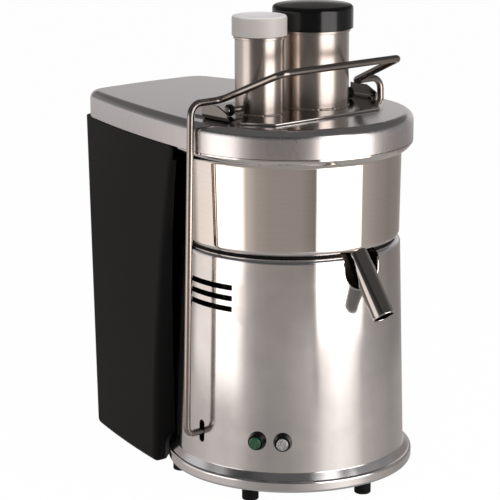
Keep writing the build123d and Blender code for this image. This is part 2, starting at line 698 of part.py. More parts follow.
def bowl_envelope():
    """The bowl with its inside filled."""
    edges, floor_end, lip = bowl_outside()
    rim = (FLANGE_RADIUS, BOWL_RIM)
    return turned(*edges, *path([lip, rim, (0, BOWL_RIM), (0, BOWL_BOTTOM), floor_end]))


def rear_window(bottom):
    """Cut through the rear of the bowl's rim by which the pulp leaves."""
    half = WINDOW_WIDTH / 2
    return block((-half, BOWL_TOP_RADIUS / 2, bottom), (half, LID_REAR, LID_TOP - LID_TOP_ROUND))


def juice_bowl():
    edges, floor_end, lip = bowl_outside()
    inner_corner = BOWL_CORNER - BOWL_WALL
    wall_top = (BOWL_TOP_RADIUS - BOWL_WALL, BOWL_RIM - FLANGE_DROP)
    wall_low = (BOWL_BASE_RADIUS - BOWL_WALL, BOWL_BOTTOM + BOWL_CORNER)
    floor = (wall_low[0] - inner_corner, BOWL_BOTTOM + BOWL_WALL)
    collar_bore = COLLAR_RADIUS - BOWL_WALL
    collar_top = BOWL_BOTTOM + COLLAR_HEIGHT
    edges += path([
        lip,
        (FLANGE_RADIUS, BOWL_RIM),
        (BOWL_TOP_RADIUS + BOWL_WALL, BOWL_RIM),
        wall_top,
        wall_low,
    ])
    edges += [round_edge(wall_low, (floor[0], wall_low[1]), floor, inner_corner)]
    edges += path([
        floor,
        (COLLAR_RADIUS, BOWL_BOTTOM + BOWL_WALL),
        (COLLAR_RADIUS, collar_top),
        (collar_bore, collar_top),
        (collar_bore, BOWL_BOTTOM),
        floor_end,
    ])
    bowl = turned(*edges)
    bowl -= rear_window(BOWL_RIM - WINDOW_DEPTH)
    return bowl - spout_frame() * disc(SPOUT_RADIUS - SPOUT_WALL, -3 * SPOUT_RADIUS, SPOUT_LENGTH)


def juice_spout():
    tube = ring(SPOUT_RADIUS - SPOUT_WALL, SPOUT_RADIUS, -2 * SPOUT_RADIUS, SPOUT_LENGTH)
    return spout_frame() * tube - Pos(0, 0, -WELD_GAP) * bowl_envelope()


def hood_plan(inset, rear, corner):
    """A disc with bowed sides that run back from it to a bowed rear edge."""
    turn = radians(LID_SIDE_ANGLE)
    offset = LID_SIDE_RADIUS - LID_RADIUS
    reach = LID_SIDE_RADIUS - inset
    end_turn = asin((rear + offset * sin(turn)) / reach)
    turns = (turn, (turn + end_turn) / 2, end_turn)
    side = [(reach * cos(a) - offset * cos(turn), reach * sin(a) - offset * sin(turn)) for a in turns]
    other = [(-x, y) for x, y in reversed(side)]
    outline = make_face([
        ThreePointArc(other[-1], (0, inset - LID_RADIUS), side[0]),
        ThreePointArc(*side),
        ThreePointArc(side[-1], (0, rear + LID_REAR_BOW), other[0]),
        ThreePointArc(*other),
    ])
    corners = [v for v in outline.vertices() if v.Y > rear - LID_WALL]
    return fillet(corners, corner)


def lid_plan(inset):
    return hood_plan(inset, LID_REAR - inset, LID_CORNER - inset)


def lid():
    outer = Pos(0, 0, LID_BOTTOM) * extrude(lid_plan(0), LID_HEIGHT)
    outer = fillet([e for e in outer.edges() if e.center().Z > LID_TOP - LID_WALL], LID_TOP_ROUND)
    cavity = Pos(0, 0, LID_BOTTOM) * extrude(lid_plan(LID_WALL), LID_HEIGHT - LID_WALL)
    ceiling = [e for e in cavity.edges() if e.center().Z > LID_TOP - 2 * LID_WALL]
    cavity = fillet(ceiling, LID_TOP_ROUND - LID_WALL)
    ledge_bottom = BOWL_RIM + GASKET_HEIGHT
    ledge_bore = gasket_outer() - GASKET_WIDTH
    ledge = ring(ledge_bore, LID_RADIUS - LID_WALL / 2, ledge_bottom, ledge_bottom + LID_WALL)
    ledge -= rear_window(BOWL_RIM)
    body = outer - cavity + (ledge & outer)
    body -= Pos(SMALL_TUBE_X, 0, 0) * disc(SMALL_TUBE_RADIUS + WELD_GAP, BOWL_RIM, 2 * LID_TOP)
    body -= Pos(LARGE_TUBE_X, 0, 0) * disc(LARGE_TUBE_RADIUS + WELD_GAP, BOWL_RIM, 2 * LID_TOP)
    return body


def gasket_outer():
    """Outer radius of the lid's gasket, inside the lid's skirt."""
    return LID_RADIUS - LID_WALL - SEAT_GAP


def lid_gasket():
    gasket = ring(gasket_outer() - GASKET_WIDTH, gasket_outer(), BOWL_RIM, BOWL_RIM + GASKET_HEIGHT)
    return gasket - rear_window(BOWL_RIM - WINDOW_DEPTH)


def feed_tube(radius, top):
    """Open tube with a rolled rim, on the axis."""
    tube = ring(radius - TUBE_WALL, radius, TUBE_BOTTOM, top)
    rim = ring(radius - TUBE_WALL, radius + TUBE_RIM_WIDTH, top - TUBE_RIM_HEIGHT, top)
    rim = fillet(rim.edges().filter_by(GeomType.CIRCLE).group_by(SortBy.RADIUS)[-1], TUBE_RIM_WIDTH / 2)
    return tube + rim


def small_feed_tube():
    return Pos(SMALL_TUBE_X, 0, 0) * feed_tube(SMALL_TUBE_RADIUS, SMALL_TUBE_TOP)


def large_feed_tube():
    return Pos(LARGE_TUBE_X, 0, 0) * feed_tube(LARGE_TUBE_RADIUS, LARGE_TUBE_TOP)


def pusher(tube_radius, tube_top, cap_radius, cap_height, cap_round, crown):
    """Hollow pusher: a cap with a crowned or dished top on a stem that fills the tube."""
    stem = tube_radius - TUBE_WALL - PUSHER_GAP
    bore = stem - PUSHER_WALL
    seat = tube_top + SEAT_GAP
    top = seat + cap_height
    foot = TUBE_BOTTOM + FEED_GAP
    shoulder = (cap_radius - cap_round, top)
    side = (cap_radius, top - cap_round)
    ceiling = top - PUSHER_WALL - abs(crown)
    crown_side = (shoulder[0] / 2, 0, top + crown * 3 / 4)
    edges = [ThreePointArc((0, 0, top + crown), crown_side, (shoulder[0], 0, top))]
    edges += [round_edge(shoulder, (shoulder[0], side[1]), side, cap_round)]
    edges += path([
        side,
        (cap_radius, seat),
        (stem, seat),
        (stem, foot),
        (bore, foot),
        (bore, ceiling),
        (0, ceiling),
        (0, top + crown),
    ])
    return turned(*edges)


def pusher_plug(tube_radius):
    """Disc that closes the foot of a pusher."""
    bore = tube_radius - TUBE_WALL - PUSHER_GAP - PUSHER_WALL
    foot = TUBE_BOTTOM + FEED_GAP
    return disc(bore - WELD_GAP, foot, foot + PUSHER_PLUG_HEIGHT)


def small_pusher_plug():
    return Pos(SMALL_TUBE_X, 0, 0) * pusher_plug(SMALL_TUBE_RADIUS)


def large_pusher_plug():
    return Pos(LARGE_TUBE_X, 0, 0) * pusher_plug(LARGE_TUBE_RADIUS)


def small_pusher():
    body = pusher(SMALL_TUBE_RADIUS, SMALL_TUBE_TOP, SMALL_CAP_RADIUS, SMALL_CAP_HEIGHT, SMALL_CAP_ROUND,
                  -SMALL_CAP_DISH)
    return Pos(SMALL_TUBE_X, 0, 0) * body


def large_pusher():
    body = pusher(LARGE_TUBE_RADIUS, LARGE_TUBE_TOP, LARGE_CAP_RADIUS, LARGE_CAP_HEIGHT, LARGE_CAP_ROUND,
                  LARGE_CAP_DOME)
    return Pos(LARGE_TUBE_X, 0, 0) * body


def bridge_wing():
    """Wing at +X, bent up from the edge of the plate, with a slanted front corner."""
    bend = LID_TOP + SHEET + WING_BEND
    inner = BRIDGE_HALF_WIDTH - SHEET
    outer = BRIDGE_HALF_WIDTH
    corner = inner - WING_BEND
    edges = [round_edge((corner, LID_TOP), (corner, bend), (outer, bend), WING_BEND + SHEET)]
    edges += path([(outer, bend), (outer, WING_TOP), (inner, WING_TOP), (inner, bend)])
    edges += [round_edge((inner, bend), (corner, bend), (corner, LID_TOP + SHEET), WING_BEND)]
    edges += path([(corner, LID_TOP + SHEET), (corner, LID_TOP)])
    wing = Pos(0, WING_TAIL, 0) * extrude(make_face(edges), WING_FRONT + WING_TAIL, dir=(0, -1, 0))
    slant = make_face(Polyline([
        (0, WING_CHAMFER_LENGTH - WING_FRONT, WING_TOP),
        (0, -WING_FRONT, WING_TOP),
        (0, -WING_FRONT, WING_TOP - WING_CHAMFER_DROP),
    ], close=True))
    return wing - extrude(slant, LID_RADIUS, dir=(1, 0, 0))


def bridge_plate():
    side = BRIDGE_HALF_WIDTH - SHEET - WING_BEND
    left = BRIDGE_LEFT_CUT - BRIDGE_HALF_WIDTH
    right = BRIDGE_HALF_WIDTH - BRIDGE_RIGHT_CUT
    front = [
        (-side, -BRIDGE_SIDE_FRONT),
        (left, -BRIDGE_FRONT),
        (right, -BRIDGE_FRONT),
        (side, -BRIDGE_SIDE_FRONT),
    ]
    outline = front + [(x, -y) for x, y in reversed(front)]
    plate = Pos(0, 0, LID_TOP) * extrude(make_face(Polyline(outline, close=True)), SHEET)
    plate = plate + bridge_wing() + mirror(bridge_wing(), Plane.YZ)
    for x, radius in ((SMALL_TUBE_X, SMALL_TUBE_RADIUS), (LARGE_TUBE_X, LARGE_TUBE_RADIUS)):
        plate -= Pos(x, 0, 0) * disc(radius + WELD_GAP, LID_TOP, WING_TOP)
    return plate


def bumper_places():
    """Frames on the outer sides of the two tubes, with Z as the distance from the tube's axis."""
    height = LID_TOP + SHEET + BUMPER_RISE
    large = Pos(LARGE_TUBE_X, 0, 0) * facing(90, height)
    small = Pos(SMALL_TUBE_X, 0, 0) * facing(-90, height)
    return ((large, LARGE_TUBE_RADIUS), (small, SMALL_TUBE_RADIUS))


def bumper_stud(tube_radius):
    """Stud coped to a tube, with a domed head outside its washer."""
    seat = tube_radius + BUMPER_STANDOFF
    face = seat + BUMPER_WASHER_THICKNESS
    stud = disc(BUMPER_STUD_RADIUS, tube_radius / 2, face)
    head = disc(BUMPER_HEAD_RADIUS, face, face + BUMPER_HEAD_HEIGHT)
    head = fillet(head.edges().sort_by(Axis.Z)[-1], BUMPER_HEAD_HEIGHT / 2)
    collar = disc(BUMPER_HEAD_RADIUS, seat - BUMPER_HEAD_HEIGHT, seat)
    tube = Rot(90, 0, 0) * Cylinder(tube_radius + WELD_GAP, 2 * tube_radius)
    return stud + head + collar - tube


def bumper_studs():
    return group(place * bumper_stud(radius) for place, radius in bumper_places())


def bumper_washer(seat):
    """Rubber washer on a bumper stud."""
    bore = BUMPER_STUD_RADIUS + WELD_GAP
    washer = ring(bore, BUMPER_WASHER_RADIUS, seat, seat + BUMPER_WASHER_THICKNESS)
    rims = washer.edges().filter_by(GeomType.CIRCLE).group_by(SortBy.RADIUS)[-1]
    return fillet(rims, BUMPER_WASHER_ROUND)


def bumper_washers():
    return group(place * bumper_washer(radius + BUMPER_STANDOFF) for place, radius in bumper_places())


def clamp_bail():
    """One bent rod: two hooks, two legs, two shoulders on the wings and a raised handle."""
    hook_x = BLOCK_INNER_X + SEAT_GAP
    half = [
        (hook_x, LATCH_SETBACK, BAIL_HOOK),
        (BAIL_FOOT_X, LATCH_SETBACK, BAIL_HOOK),
        (BAIL_LEG_X, LATCH_SETBACK, BAIL_TOP),
        (BAIL_SHOULDER_HALF, LATCH_SETBACK, BAIL_TOP),
        (BAIL_HANDLE_HALF, -BAIL_HANDLE_FORWARD, BAIL_TOP + BAIL_HANDLE_RISE),
    ]
    bends = [BAIL_HOOK_BEND, BAIL_LEG_BEND, BAIL_SHOULDER_BEND, BAIL_HANDLE_BEND]
    points = half + [(-x, y, z) for x, y, z in reversed(half)]
    route = FilletPolyline(points, radius=bends + bends[::-1])
    section = Plane(origin=points[0], z_dir=(1, 0, 0)) * Circle(ROD_RADIUS)
    return sweep(section, route)


def latch_block(side):
    """Sliding block that carries one hook of the bail; side is 1 at +X and -1 at -X."""
    half = LATCH_BLOCK_HALF_WIDTH
    low = BAIL_HOOK - LATCH_BLOCK_HEIGHT / 2
    body = block((BLOCK_INNER_X, -half, low), (GUIDE_OUTER_X, half, BLOCK_TOP))
    body = fillet(body.edges().filter_by(Axis.X), LATCH_BLOCK_ROUND)
    body -= facing(90, BAIL_HOOK) * disc(ROD_RADIUS + RUN_GAP, BLOCK_INNER_X, GUIDE_OUTER_X)
    return Pos(0, LATCH_SETBACK, 0) * Rot(0, 0, 90 - 90 * side) * body


def latch_block_left():
    return latch_block(-1)


def latch_block_right():
    return latch_block(1)


def latch_guide():
    """Channel at +X that stands on the ring and holds a block and its spring."""
    half = GUIDE_HALF_WIDTH
    cap = LATCH_GUIDE_WALL
    body = block((GUIDE_INNER_X, -half, RING_FLOOR), (GUIDE_OUTER_X, half, GUIDE_TOP + cap))
    room = half - LATCH_GUIDE_WALL
    body -= block((BLOCK_INNER_X - SLIDE_GAP, -room, RING_FLOOR + cap), (RING_RADIUS, room, GUIDE_TOP))
    return body


def latch_guides():
    return group(Pos(0, LATCH_SETBACK, 0) * Rot(0, 0, a) * latch_guide() for a in (0, 180))


def latch_springs():
    middle = (BLOCK_INNER_X + GUIDE_OUTER_X) / 2
    spring = coil(LATCH_SPRING_RADIUS, LATCH_SPRING_WIRE, LATCH_SPRING_TURNS, BLOCK_TOP, GUIDE_TOP)
    return group(Pos(0, LATCH_SETBACK, 0) * Rot(0, 0, a) * Pos(middle, 0, 0) * spring for a in (0, 180))


def safety_switch():
    low = BAIL_HOOK - SWITCH_HEIGHT / 2
    half = SWITCH_LENGTH / 2
    body = block((-GUIDE_INNER_X, -half, low), (-GUIDE_INNER_X + SWITCH_DEPTH, half, low + SWITCH_HEIGHT))
    return Pos(0, LATCH_SETBACK, 0) * fillet(body.edges().filter_by(Axis.X), SWITCH_ROUND)


def bezel_face():
    """Distance from the motor axis to the back of a bezel's flange."""
    return widest(BUTTON_Z, BEZEL_RADIUS) + WELD_GAP


def barrel_end():
    return bezel_face() - BARREL_LENGTH


def bezel():
    front = bezel_face() + BEZEL_PROUD
    bore = BUTTON_RADIUS + SLIDE_GAP
    stem_hole = BUTTON_STEM_RADIUS + SLIDE_GAP
    shelf = barrel_end() + BARREL_END_WALL
    return turned_polygon([
        (stem_hole, barrel_end()),
        (BARREL_RADIUS, barrel_end()),
        (BARREL_RADIUS, bezel_face()),
        (BEZEL_RADIUS, bezel_face()),
        (BEZEL_RADIUS, bezel_face() + BEZEL_EDGE),
        (BEZEL_FRONT_RADIUS, front - BEZEL_EDGE / 2),
        (BEZEL_FRONT_RADIUS - BEZEL_EDGE / 2, front),
        (bore, front),
        (bore, shelf),
        (stem_hole, shelf),
    ])


def start_bezel():
    return button_frames()[0] * bezel()


def stop_bezel():
    return button_frames()[1] * bezel()


def bezel_nuts():
    reach = narrowest(BUTTON_Z, BEZEL_NUT_RADIUS) - HOUSING_WALL
    seat = sqrt(reach ** 2 - BEZEL_NUT_RADIUS ** 2)
    nut = hex_nut(BEZEL_NUT_RADIUS, BARREL_RADIUS + WELD_GAP, seat - BEZEL_NUT_HEIGHT, seat)
    return group(frame * nut for frame in button_frames())


def button():
    front = bezel_face() + BEZEL_PROUD + BUTTON_PROUD
    back = front - BUTTON_LENGTH
    clip = barrel_end() - SEAT_GAP
    clip_radius = BUTTON_STEM_RADIUS + BUTTON_CLIP_WIDTH
    crown = turned_polygon([
        (0, clip - BUTTON_CLIP_THICKNESS),
        (clip_radius, clip - BUTTON_CLIP_THICKNESS),
        (clip_radius, clip),
        (BUTTON_STEM_RADIUS, clip),
        (BUTTON_STEM_RADIUS, back),
        (BUTTON_RADIUS, back),
        (BUTTON_RADIUS, front),
        (0, front),
    ])
    return fillet(crown.edges().sort_by(Axis.Z)[-1], BUTTON_ROUND)


def start_button():
    return button_frames()[0] * button()


def stop_button():
    return button_frames()[1] * button()


def button_spring():
    back = bezel_face() + BEZEL_PROUD + BUTTON_PROUD - BUTTON_LENGTH
    shelf = barrel_end() + BARREL_END_WALL
    return coil(BUTTON_SPRING_RADIUS, BUTTON_SPRING_WIRE, BUTTON_SPRING_TURNS, shelf, back)


def start_spring():
    return button_frames()[0] * button_spring()


def stop_spring():
    return button_frames()[1] * button_spring()


def switch_blocks():
    face = barrel_end() - SEAT_GAP - BUTTON_CLIP_THICKNESS - BUTTON_TRAVEL - SWITCH_BLOCK_ROOM
    half = SWITCH_BLOCK_SIDE / 2
    body = block((-half, -half, face - SWITCH_BLOCK_LENGTH), (half, half, face))
    sleeve_bore = BARREL_RADIUS + WELD_GAP
    body += disc(sleeve_bore + SWITCH_SLEEVE_WALL, face - SWITCH_SLEEVE_WALL, face)
    sleeve = ring(sleeve_bore, sleeve_bore + SWITCH_SLEEVE_WALL, face, barrel_end() + BARREL_END_WALL)
    return group(frame * (body + sleeve) for frame in button_frames())


def bell(bottom, pocket):
    """End bell of the motor with a bearing pocket open towards the rotor."""
    body = disc(MOTOR_RADIUS, bottom, bottom + BELL_HEIGHT)
    body -= disc(BEARING_RADIUS + WELD_GAP, pocket, pocket + BEARING_HEIGHT)
    return body - disc(SHAFT_RADIUS + 2 * SHEET, bottom, bottom + BELL_HEIGHT)


def motor_top_bell():
    flange = ring(MOTOR_RADIUS - MOTOR_WALL, BELL_FLANGE_RADIUS, DECK_BOTTOM - BELL_FLANGE, DECK_BOTTOM)
    holes = around(MOTOR_SCREW_COUNT, MOTOR_SCREW_PLACE * screw_hole(MOTOR_SCREW_SHANK), MOTOR_SCREW_START)
    return bell(CAN_TOP, CAN_TOP) + flange - holes


def motor_bottom_bell():
    return bell(MOTOR_BOTTOM, CAN_BOTTOM - BEARING_HEIGHT)


def motor_can():
    return ring(MOTOR_RADIUS - MOTOR_WALL, MOTOR_RADIUS, CAN_BOTTOM, CAN_TOP)


def motor_screws():
    return group(around(MOTOR_SCREW_COUNT, MOTOR_SCREW_PLACE * screw(MOTOR_SCREW_SHANK), MOTOR_SCREW_START))


def bearing(bottom):
    """Sealed ball bearing with a shallow groove between its races on both faces."""
    top = bottom + BEARING_HEIGHT
    third = (BEARING_RADIUS - SHAFT_RADIUS) / 3
    body = ring(SHAFT_RADIUS + RUN_GAP, BEARING_RADIUS, bottom, top)
    body -= ring(SHAFT_RADIUS + third, BEARING_RADIUS - third, bottom, bottom + BEARING_GROOVE)
    return body - ring(SHAFT_RADIUS + third, BEARING_RADIUS - third, top - BEARING_GROOVE, top)


def upper_bearing():
    return bearing(CAN_TOP)


def lower_bearing():
    return bearing(CAN_BOTTOM - BEARING_HEIGHT)


def stator_core():
    top = STATOR_BOTTOM + STATOR_LENGTH
    core = ring(STATOR_BORE_RADIUS, MOTOR_RADIUS - MOTOR_WALL - WELD_GAP, STATOR_BOTTOM, top)
    slot_half = STATOR_SLOT_WIDTH / 2
    slot_end = STATOR_BORE_RADIUS + STATOR_SLOT_DEPTH
    slot = block((-slot_half, -slot_end, STATOR_BOTTOM), (slot_half, -STATOR_BORE_RADIUS / 2, top))
    return core - around(STATOR_SLOT_COUNT, slot)


def stator_windings():
    inner = STATOR_BORE_RADIUS + WINDING_BORE_GAP
    outer = MOTOR_RADIUS - MOTOR_WALL - WINDING_CAN_GAP
    top = STATOR_BOTTOM + STATOR_LENGTH
    upper = ring(inner, outer, top, top + WINDING_HEIGHT)
    lower = ring(inner, outer, STATOR_BOTTOM - WINDING_HEIGHT, STATOR_BOTTOM)
    return group(fillet(w.edges(), WINDING_ROUND) for w in (upper, lower))


def rotor():
    top = STATOR_BOTTOM + STATOR_LENGTH
    return ring(SHAFT_RADIUS + WELD_GAP, STATOR_BORE_RADIUS - AIR_GAP, STATOR_BOTTOM, top)


def motor_shaft():
    shaft = disc(SHAFT_RADIUS, FAN_TOP - FAN_HEIGHT, HUB_BOTTOM)
    return shaft + disc(SHAFT_NOSE_RADIUS, HUB_BOTTOM, NUT_BOTTOM + NUT_HEIGHT)


def cooling_fan():
    low = FAN_TOP - FAN_HEIGHT
    fan = disc(FAN_HUB_RADIUS, low, FAN_TOP) + disc(FAN_RADIUS, FAN_TOP - SHEET, FAN_TOP)
    half = FAN_BLADE / 2
    blade = block((-half, -FAN_RADIUS + SHEET, low), (half, -FAN_HUB_RADIUS + SHEET, FAN_TOP))
    for piece in around(FAN_BLADE_COUNT, blade):
        fan += piece
    return fan - disc(SHAFT_RADIUS + WELD_GAP, low, FAN_TOP)


def drive_hub():
    skirt = COLLAR_RADIUS + HUB_SKIRT_GAP
    hub = disc(HUB_RADIUS, HUB_BOTTOM, HUB_TOP)
    hub = chamfer(hub.edges().sort_by(Axis.Z)[0], HUB_CHAMFER)
    hub += ring(skirt, skirt + HUB_SKIRT_WALL, HUB_BOTTOM - HUB_SKIRT_HEIGHT, HUB_BOTTOM + SHEET)
    return hub - disc(SHAFT_NOSE_RADIUS + WELD_GAP, HUB_BOTTOM, HUB_TOP)


def basket_slot():
    """Cutter for one strainer slot along the basket's wall."""
    half = BASKET_SLOT_WIDTH / 2
    slope = (BASKET_TOP_RADIUS - BASKET_BASE_RADIUS) / (BASKET_RIM - HUB_TOP)
    low = (BASKET_BASE_RADIUS + BASKET_SLOT_FOOT * slope, HUB_TOP + BASKET_SLOT_FOOT)
    high = (BASKET_TOP_RADIUS - BASKET_SLOT_HEAD * slope, BASKET_RIM - BASKET_SLOT_HEAD)
    reach = 4 * BASKET_WALL
    face = make_face(Polyline([
        (low[0] - reach, -half, low[1]),
        (low[0] + reach, -half, low[1]),
        (high[0] + reach, -half, high[1]),
        (high[0] - reach, -half, high[1]),
    ], close=True))
    return extrude(face, BASKET_SLOT_WIDTH, dir=(0, 1, 0))


def filter_basket():
    rim_under = BASKET_RIM - BASKET_WALL
    basket = turned_polygon([
        (SHAFT_NOSE_RADIUS + WELD_GAP, HUB_TOP),
        (BASKET_BASE_RADIUS, HUB_TOP),
        (BASKET_TOP_RADIUS, rim_under),
        (BASKET_TOP_RADIUS + BASKET_RIM_WIDTH, rim_under),
        (BASKET_TOP_RADIUS + BASKET_RIM_WIDTH, BASKET_RIM),
        (BASKET_TOP_RADIUS - 2 * BASKET_WALL, BASKET_RIM),
        (BASKET_BASE_RADIUS - 2 * BASKET_WALL, HUB_TOP + SHEET),
        (SHAFT_NOSE_RADIUS + WELD_GAP, HUB_TOP + SHEET),
    ])
    return basket - around(BASKET_SLOT_COUNT, basket_slot())


def grater_disc():
    grater = disc(GRATER_RADIUS, GRATER_BOTTOM, NUT_BOTTOM)
    half = GRATER_RIB / 2
    rib = block((-half, -GRATER_RADIUS + SHEET, NUT_BOTTOM - half),
                (half, -NUT_RADIUS - 2 * SHEET, NUT_BOTTOM + GRATER_RIB))
    for piece in around(GRATER_RIB_COUNT, rib):
        grater += piece
    return grater - disc(SHAFT_NOSE_RADIUS + WELD_GAP, GRATER_BOTTOM, NUT_BOTTOM + NUT_HEIGHT)


def disc_nut():
    return hex_nut(NUT_RADIUS, SHAFT_NOSE_RADIUS + WELD_GAP, NUT_BOTTOM, NUT_BOTTOM + NUT_HEIGHT)


def on_plate(angle, distance):
    """Place on the base plate, unturned, at an angle from the spout side."""
    return Pos(distance * sin(radians(angle)), -distance * cos(radians(angle)), 0)


def run_capacitor():
    can = disc(CAPACITOR_RADIUS, BASE_PLATE_TOP, BASE_PLATE_TOP + CAPACITOR_HEIGHT)
    can = fillet(can.edges().filter_by(GeomType.CIRCLE), CAPACITOR_ROUND)
    return on_plate(CAPACITOR_ANGLE, CAPACITOR_DISTANCE) * can


def terminal_block():
    length, width, height = TERMINAL_SIZE
    body = Pos(0, 0, BASE_PLATE_TOP + height / 2) * Box(length, width, height)
    body = chamfer(body.edges().group_by(Axis.Z)[-1], TERMINAL_CHAMFER)
    step = length / TERMINAL_SCREW_COUNT
    top = BASE_PLATE_TOP + height
    for i in range(TERMINAL_SCREW_COUNT):
        x = (i - (TERMINAL_SCREW_COUNT - 1) / 2) * step
        body -= Pos(x, 0, 0) * disc(SCREW_RADIUS, top - height / 2, top)
    return on_plate(TERMINAL_ANGLE, TERMINAL_DISTANCE) * body


def gland_seat():
    """Distance from the motor axis to the back of the gland's flange."""
    return widest(GLAND_Z, GLAND_RADIUS) + WELD_GAP


def gland_nut_seat():
    reach = narrowest(GLAND_Z, GLAND_RADIUS) - HOUSING_WALL
    return sqrt(reach ** 2 - GLAND_RADIUS ** 2)


def cable_gland():
    seat = gland_seat()
    inner_end = gland_nut_seat() - GLAND_NUT_HEIGHT - SHEET
    flange = Pos(0, 0, seat) * extrude(RegularPolygon(GLAND_RADIUS, 6), GLAND_FLANGE)
    dome = Pos(0, 0, seat + GLAND_FLANGE) * Cone(
        GLAND_DOME_RADIUS, GLAND_TIP_RADIUS, GLAND_DOME, align=(Align.CENTER, Align.CENTER, Align.MIN))
    body = flange + dome + disc(GLAND_BARREL_RADIUS, inner_end, seat)
    body -= disc(GLAND_BORE_RADIUS, inner_end, seat + GLAND_FLANGE + GLAND_DOME)
    return facing(GLAND_ANGLE, GLAND_Z) * body


def gland_nut():
    seat = gland_nut_seat()
    nut = hex_nut(GLAND_RADIUS, GLAND_BARREL_RADIUS + WELD_GAP, seat - GLAND_NUT_HEIGHT, seat)
    return facing(GLAND_ANGLE, GLAND_Z) * nut


def bin_front(inset):
    """Round body that the bin's front is cut to: ring, housing and flange, each with its gap."""
    ring_top = RING_BOTTOM + RING_FACE_HEIGHT + BIN_RING_GAP + inset
    flange = BOWL_RIM - FLANGE_DROP - BIN_RING_GAP - inset
    front = disc(BIN_RING_RADIUS + inset, -BIN_TOP, ring_top)
    front += disc(BIN_HOUSING_RADIUS + inset, ring_top, flange)
    return front + disc(BIN_FLANGE_RADIUS + inset, flange, 2 * BIN_TOP)


def bin_rear(inset):
    """Space behind the leaning front edges of the bin."""
    reach = 2 * LID_REAR
    top = (0, BIN_HORN_TOP + inset, BIN_TOP)
    middle = (0, BIN_HORN_MIDDLE + inset, BIN_TOP / 2)
    foot = (0, BIN_HORN_FOOT + inset, 0)
    face = make_face([
        ThreePointArc(foot, middle, top),
        Line(top, (0, reach, BIN_TOP)),
        Line((0, reach, BIN_TOP), (0, reach, 0)),
        Line((0, reach, 0), foot),
    ])
    return extrude(face, reach, dir=(1, 0, 0), both=True)


def bin_block(inset, bottom):
    """Drafted block of the bin's outline with rounded edges, hollowed for the round of the machine."""
    spread = sin(radians(BIN_DRAFT)) / cos(radians(BIN_DRAFT))
    height = BIN_TOP - bottom
    shrink = inset + height * spread
    plan = hood_plan(shrink - BIN_OVERLAP, LID_REAR + BIN_REAR_OVERLAP - shrink, BIN_CORNER - inset)
    body = Pos(0, 0, bottom) * extrude(plan, height, taper=-BIN_DRAFT)
    body = fillet(body.edges().group_by(Axis.Z)[0], BIN_BOTTOM_ROUND - inset)
    body = body & bin_rear(inset)
    horns = [e for e in body.edges() if e.length > height / 2 and e.center().Y < BIN_RING_RADIUS]
    return fillet(horns, BIN_HORN_ROUND - inset) - bin_front(inset)


def pulp_bin():
    body = bin_block(0, 0) - bin_block(BIN_WALL, BIN_WALL)
    half = BIN_MOUTH_WIDTH / 2
    front = max(BIN_HOUSING_RADIUS, BIN_FLANGE_RADIUS) + 2 * BIN_WALL
    return body - block((-half, 0, BIN_TOP - BIN_MOUTH_DEPTH), (half, front, 2 * BIN_TOP))


PIECES = {
    "rubber_feet": rubber_feet,
    "foot_screws": foot_screws,
    "base_ring": base_ring,
    "base_plate": base_plate,
    "base_screws": base_screws,
    "motor_housing": motor_housing,
    "top_deck": top_deck,
    "deck_screws": deck_screws,
    "shaft_seal": shaft_seal,
    "bowl_seal": bowl_seal,
    "motor_top_bell": motor_top_bell,
    "motor_can": motor_can,
    "motor_bottom_bell": motor_bottom_bell,
    "motor_screws": motor_screws,
    "stator_core": stator_core,
    "stator_windings": stator_windings,
    "upper_bearing": upper_bearing,
    "lower_bearing": lower_bearing,
    "rotor": rotor,
    "motor_shaft": motor_shaft,
    "cooling_fan": cooling_fan,
    "drive_hub": drive_hub,
    "filter_basket": filter_basket,
    "grater_disc": grater_disc,
    "disc_nut": disc_nut,
    "run_capacitor": run_capacitor,
    "terminal_block": terminal_block,
    "cable_gland": cable_gland,
    "gland_nut": gland_nut,
    "start_bezel": start_bezel,
    "stop_bezel": stop_bezel,
    "bezel_nuts": bezel_nuts,
    "switch_blocks": switch_blocks,
    "start_button": start_button,
    "stop_button": stop_button,
    "start_spring": start_spring,
    "stop_spring": stop_spring,
    "juice_bowl": juice_bowl,
    "juice_spout": juice_spout,
    "lid": lid,
    "lid_gasket": lid_gasket,
    "bridge_plate": bridge_plate,
    "bumper_studs": bumper_studs,
    "bumper_washers": bumper_washers,
    "small_feed_tube": small_feed_tube,
    "large_feed_tube": large_feed_tube,
    "small_pusher": small_pusher,
    "small_pusher_plug": small_pusher_plug,
    "large_pusher": large_pusher,
    "large_pusher_plug": large_pusher_plug,
    "clamp_bail": clamp_bail,
    "latch_block_left": latch_block_left,
    "latch_block_right": latch_block_right,
    "latch_guides": latch_guides,
    "latch_springs": latch_springs,
    "safety_switch": safety_switch,
    "pulp_bin": pulp_bin,
}


def main():
    os.makedirs("parts", exist_ok=True)
    for name, make in PIECES.items():
        export_step(Pos(0, AXIS_Y, 0) * make(), f"parts/{name}.step")


main()
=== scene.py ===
"""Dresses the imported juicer: its finishes, small trim, studio light and the photograph's view."""
import json
from math import cos, radians, sin, tau

import bpy
from mathutils import Matrix, Vector


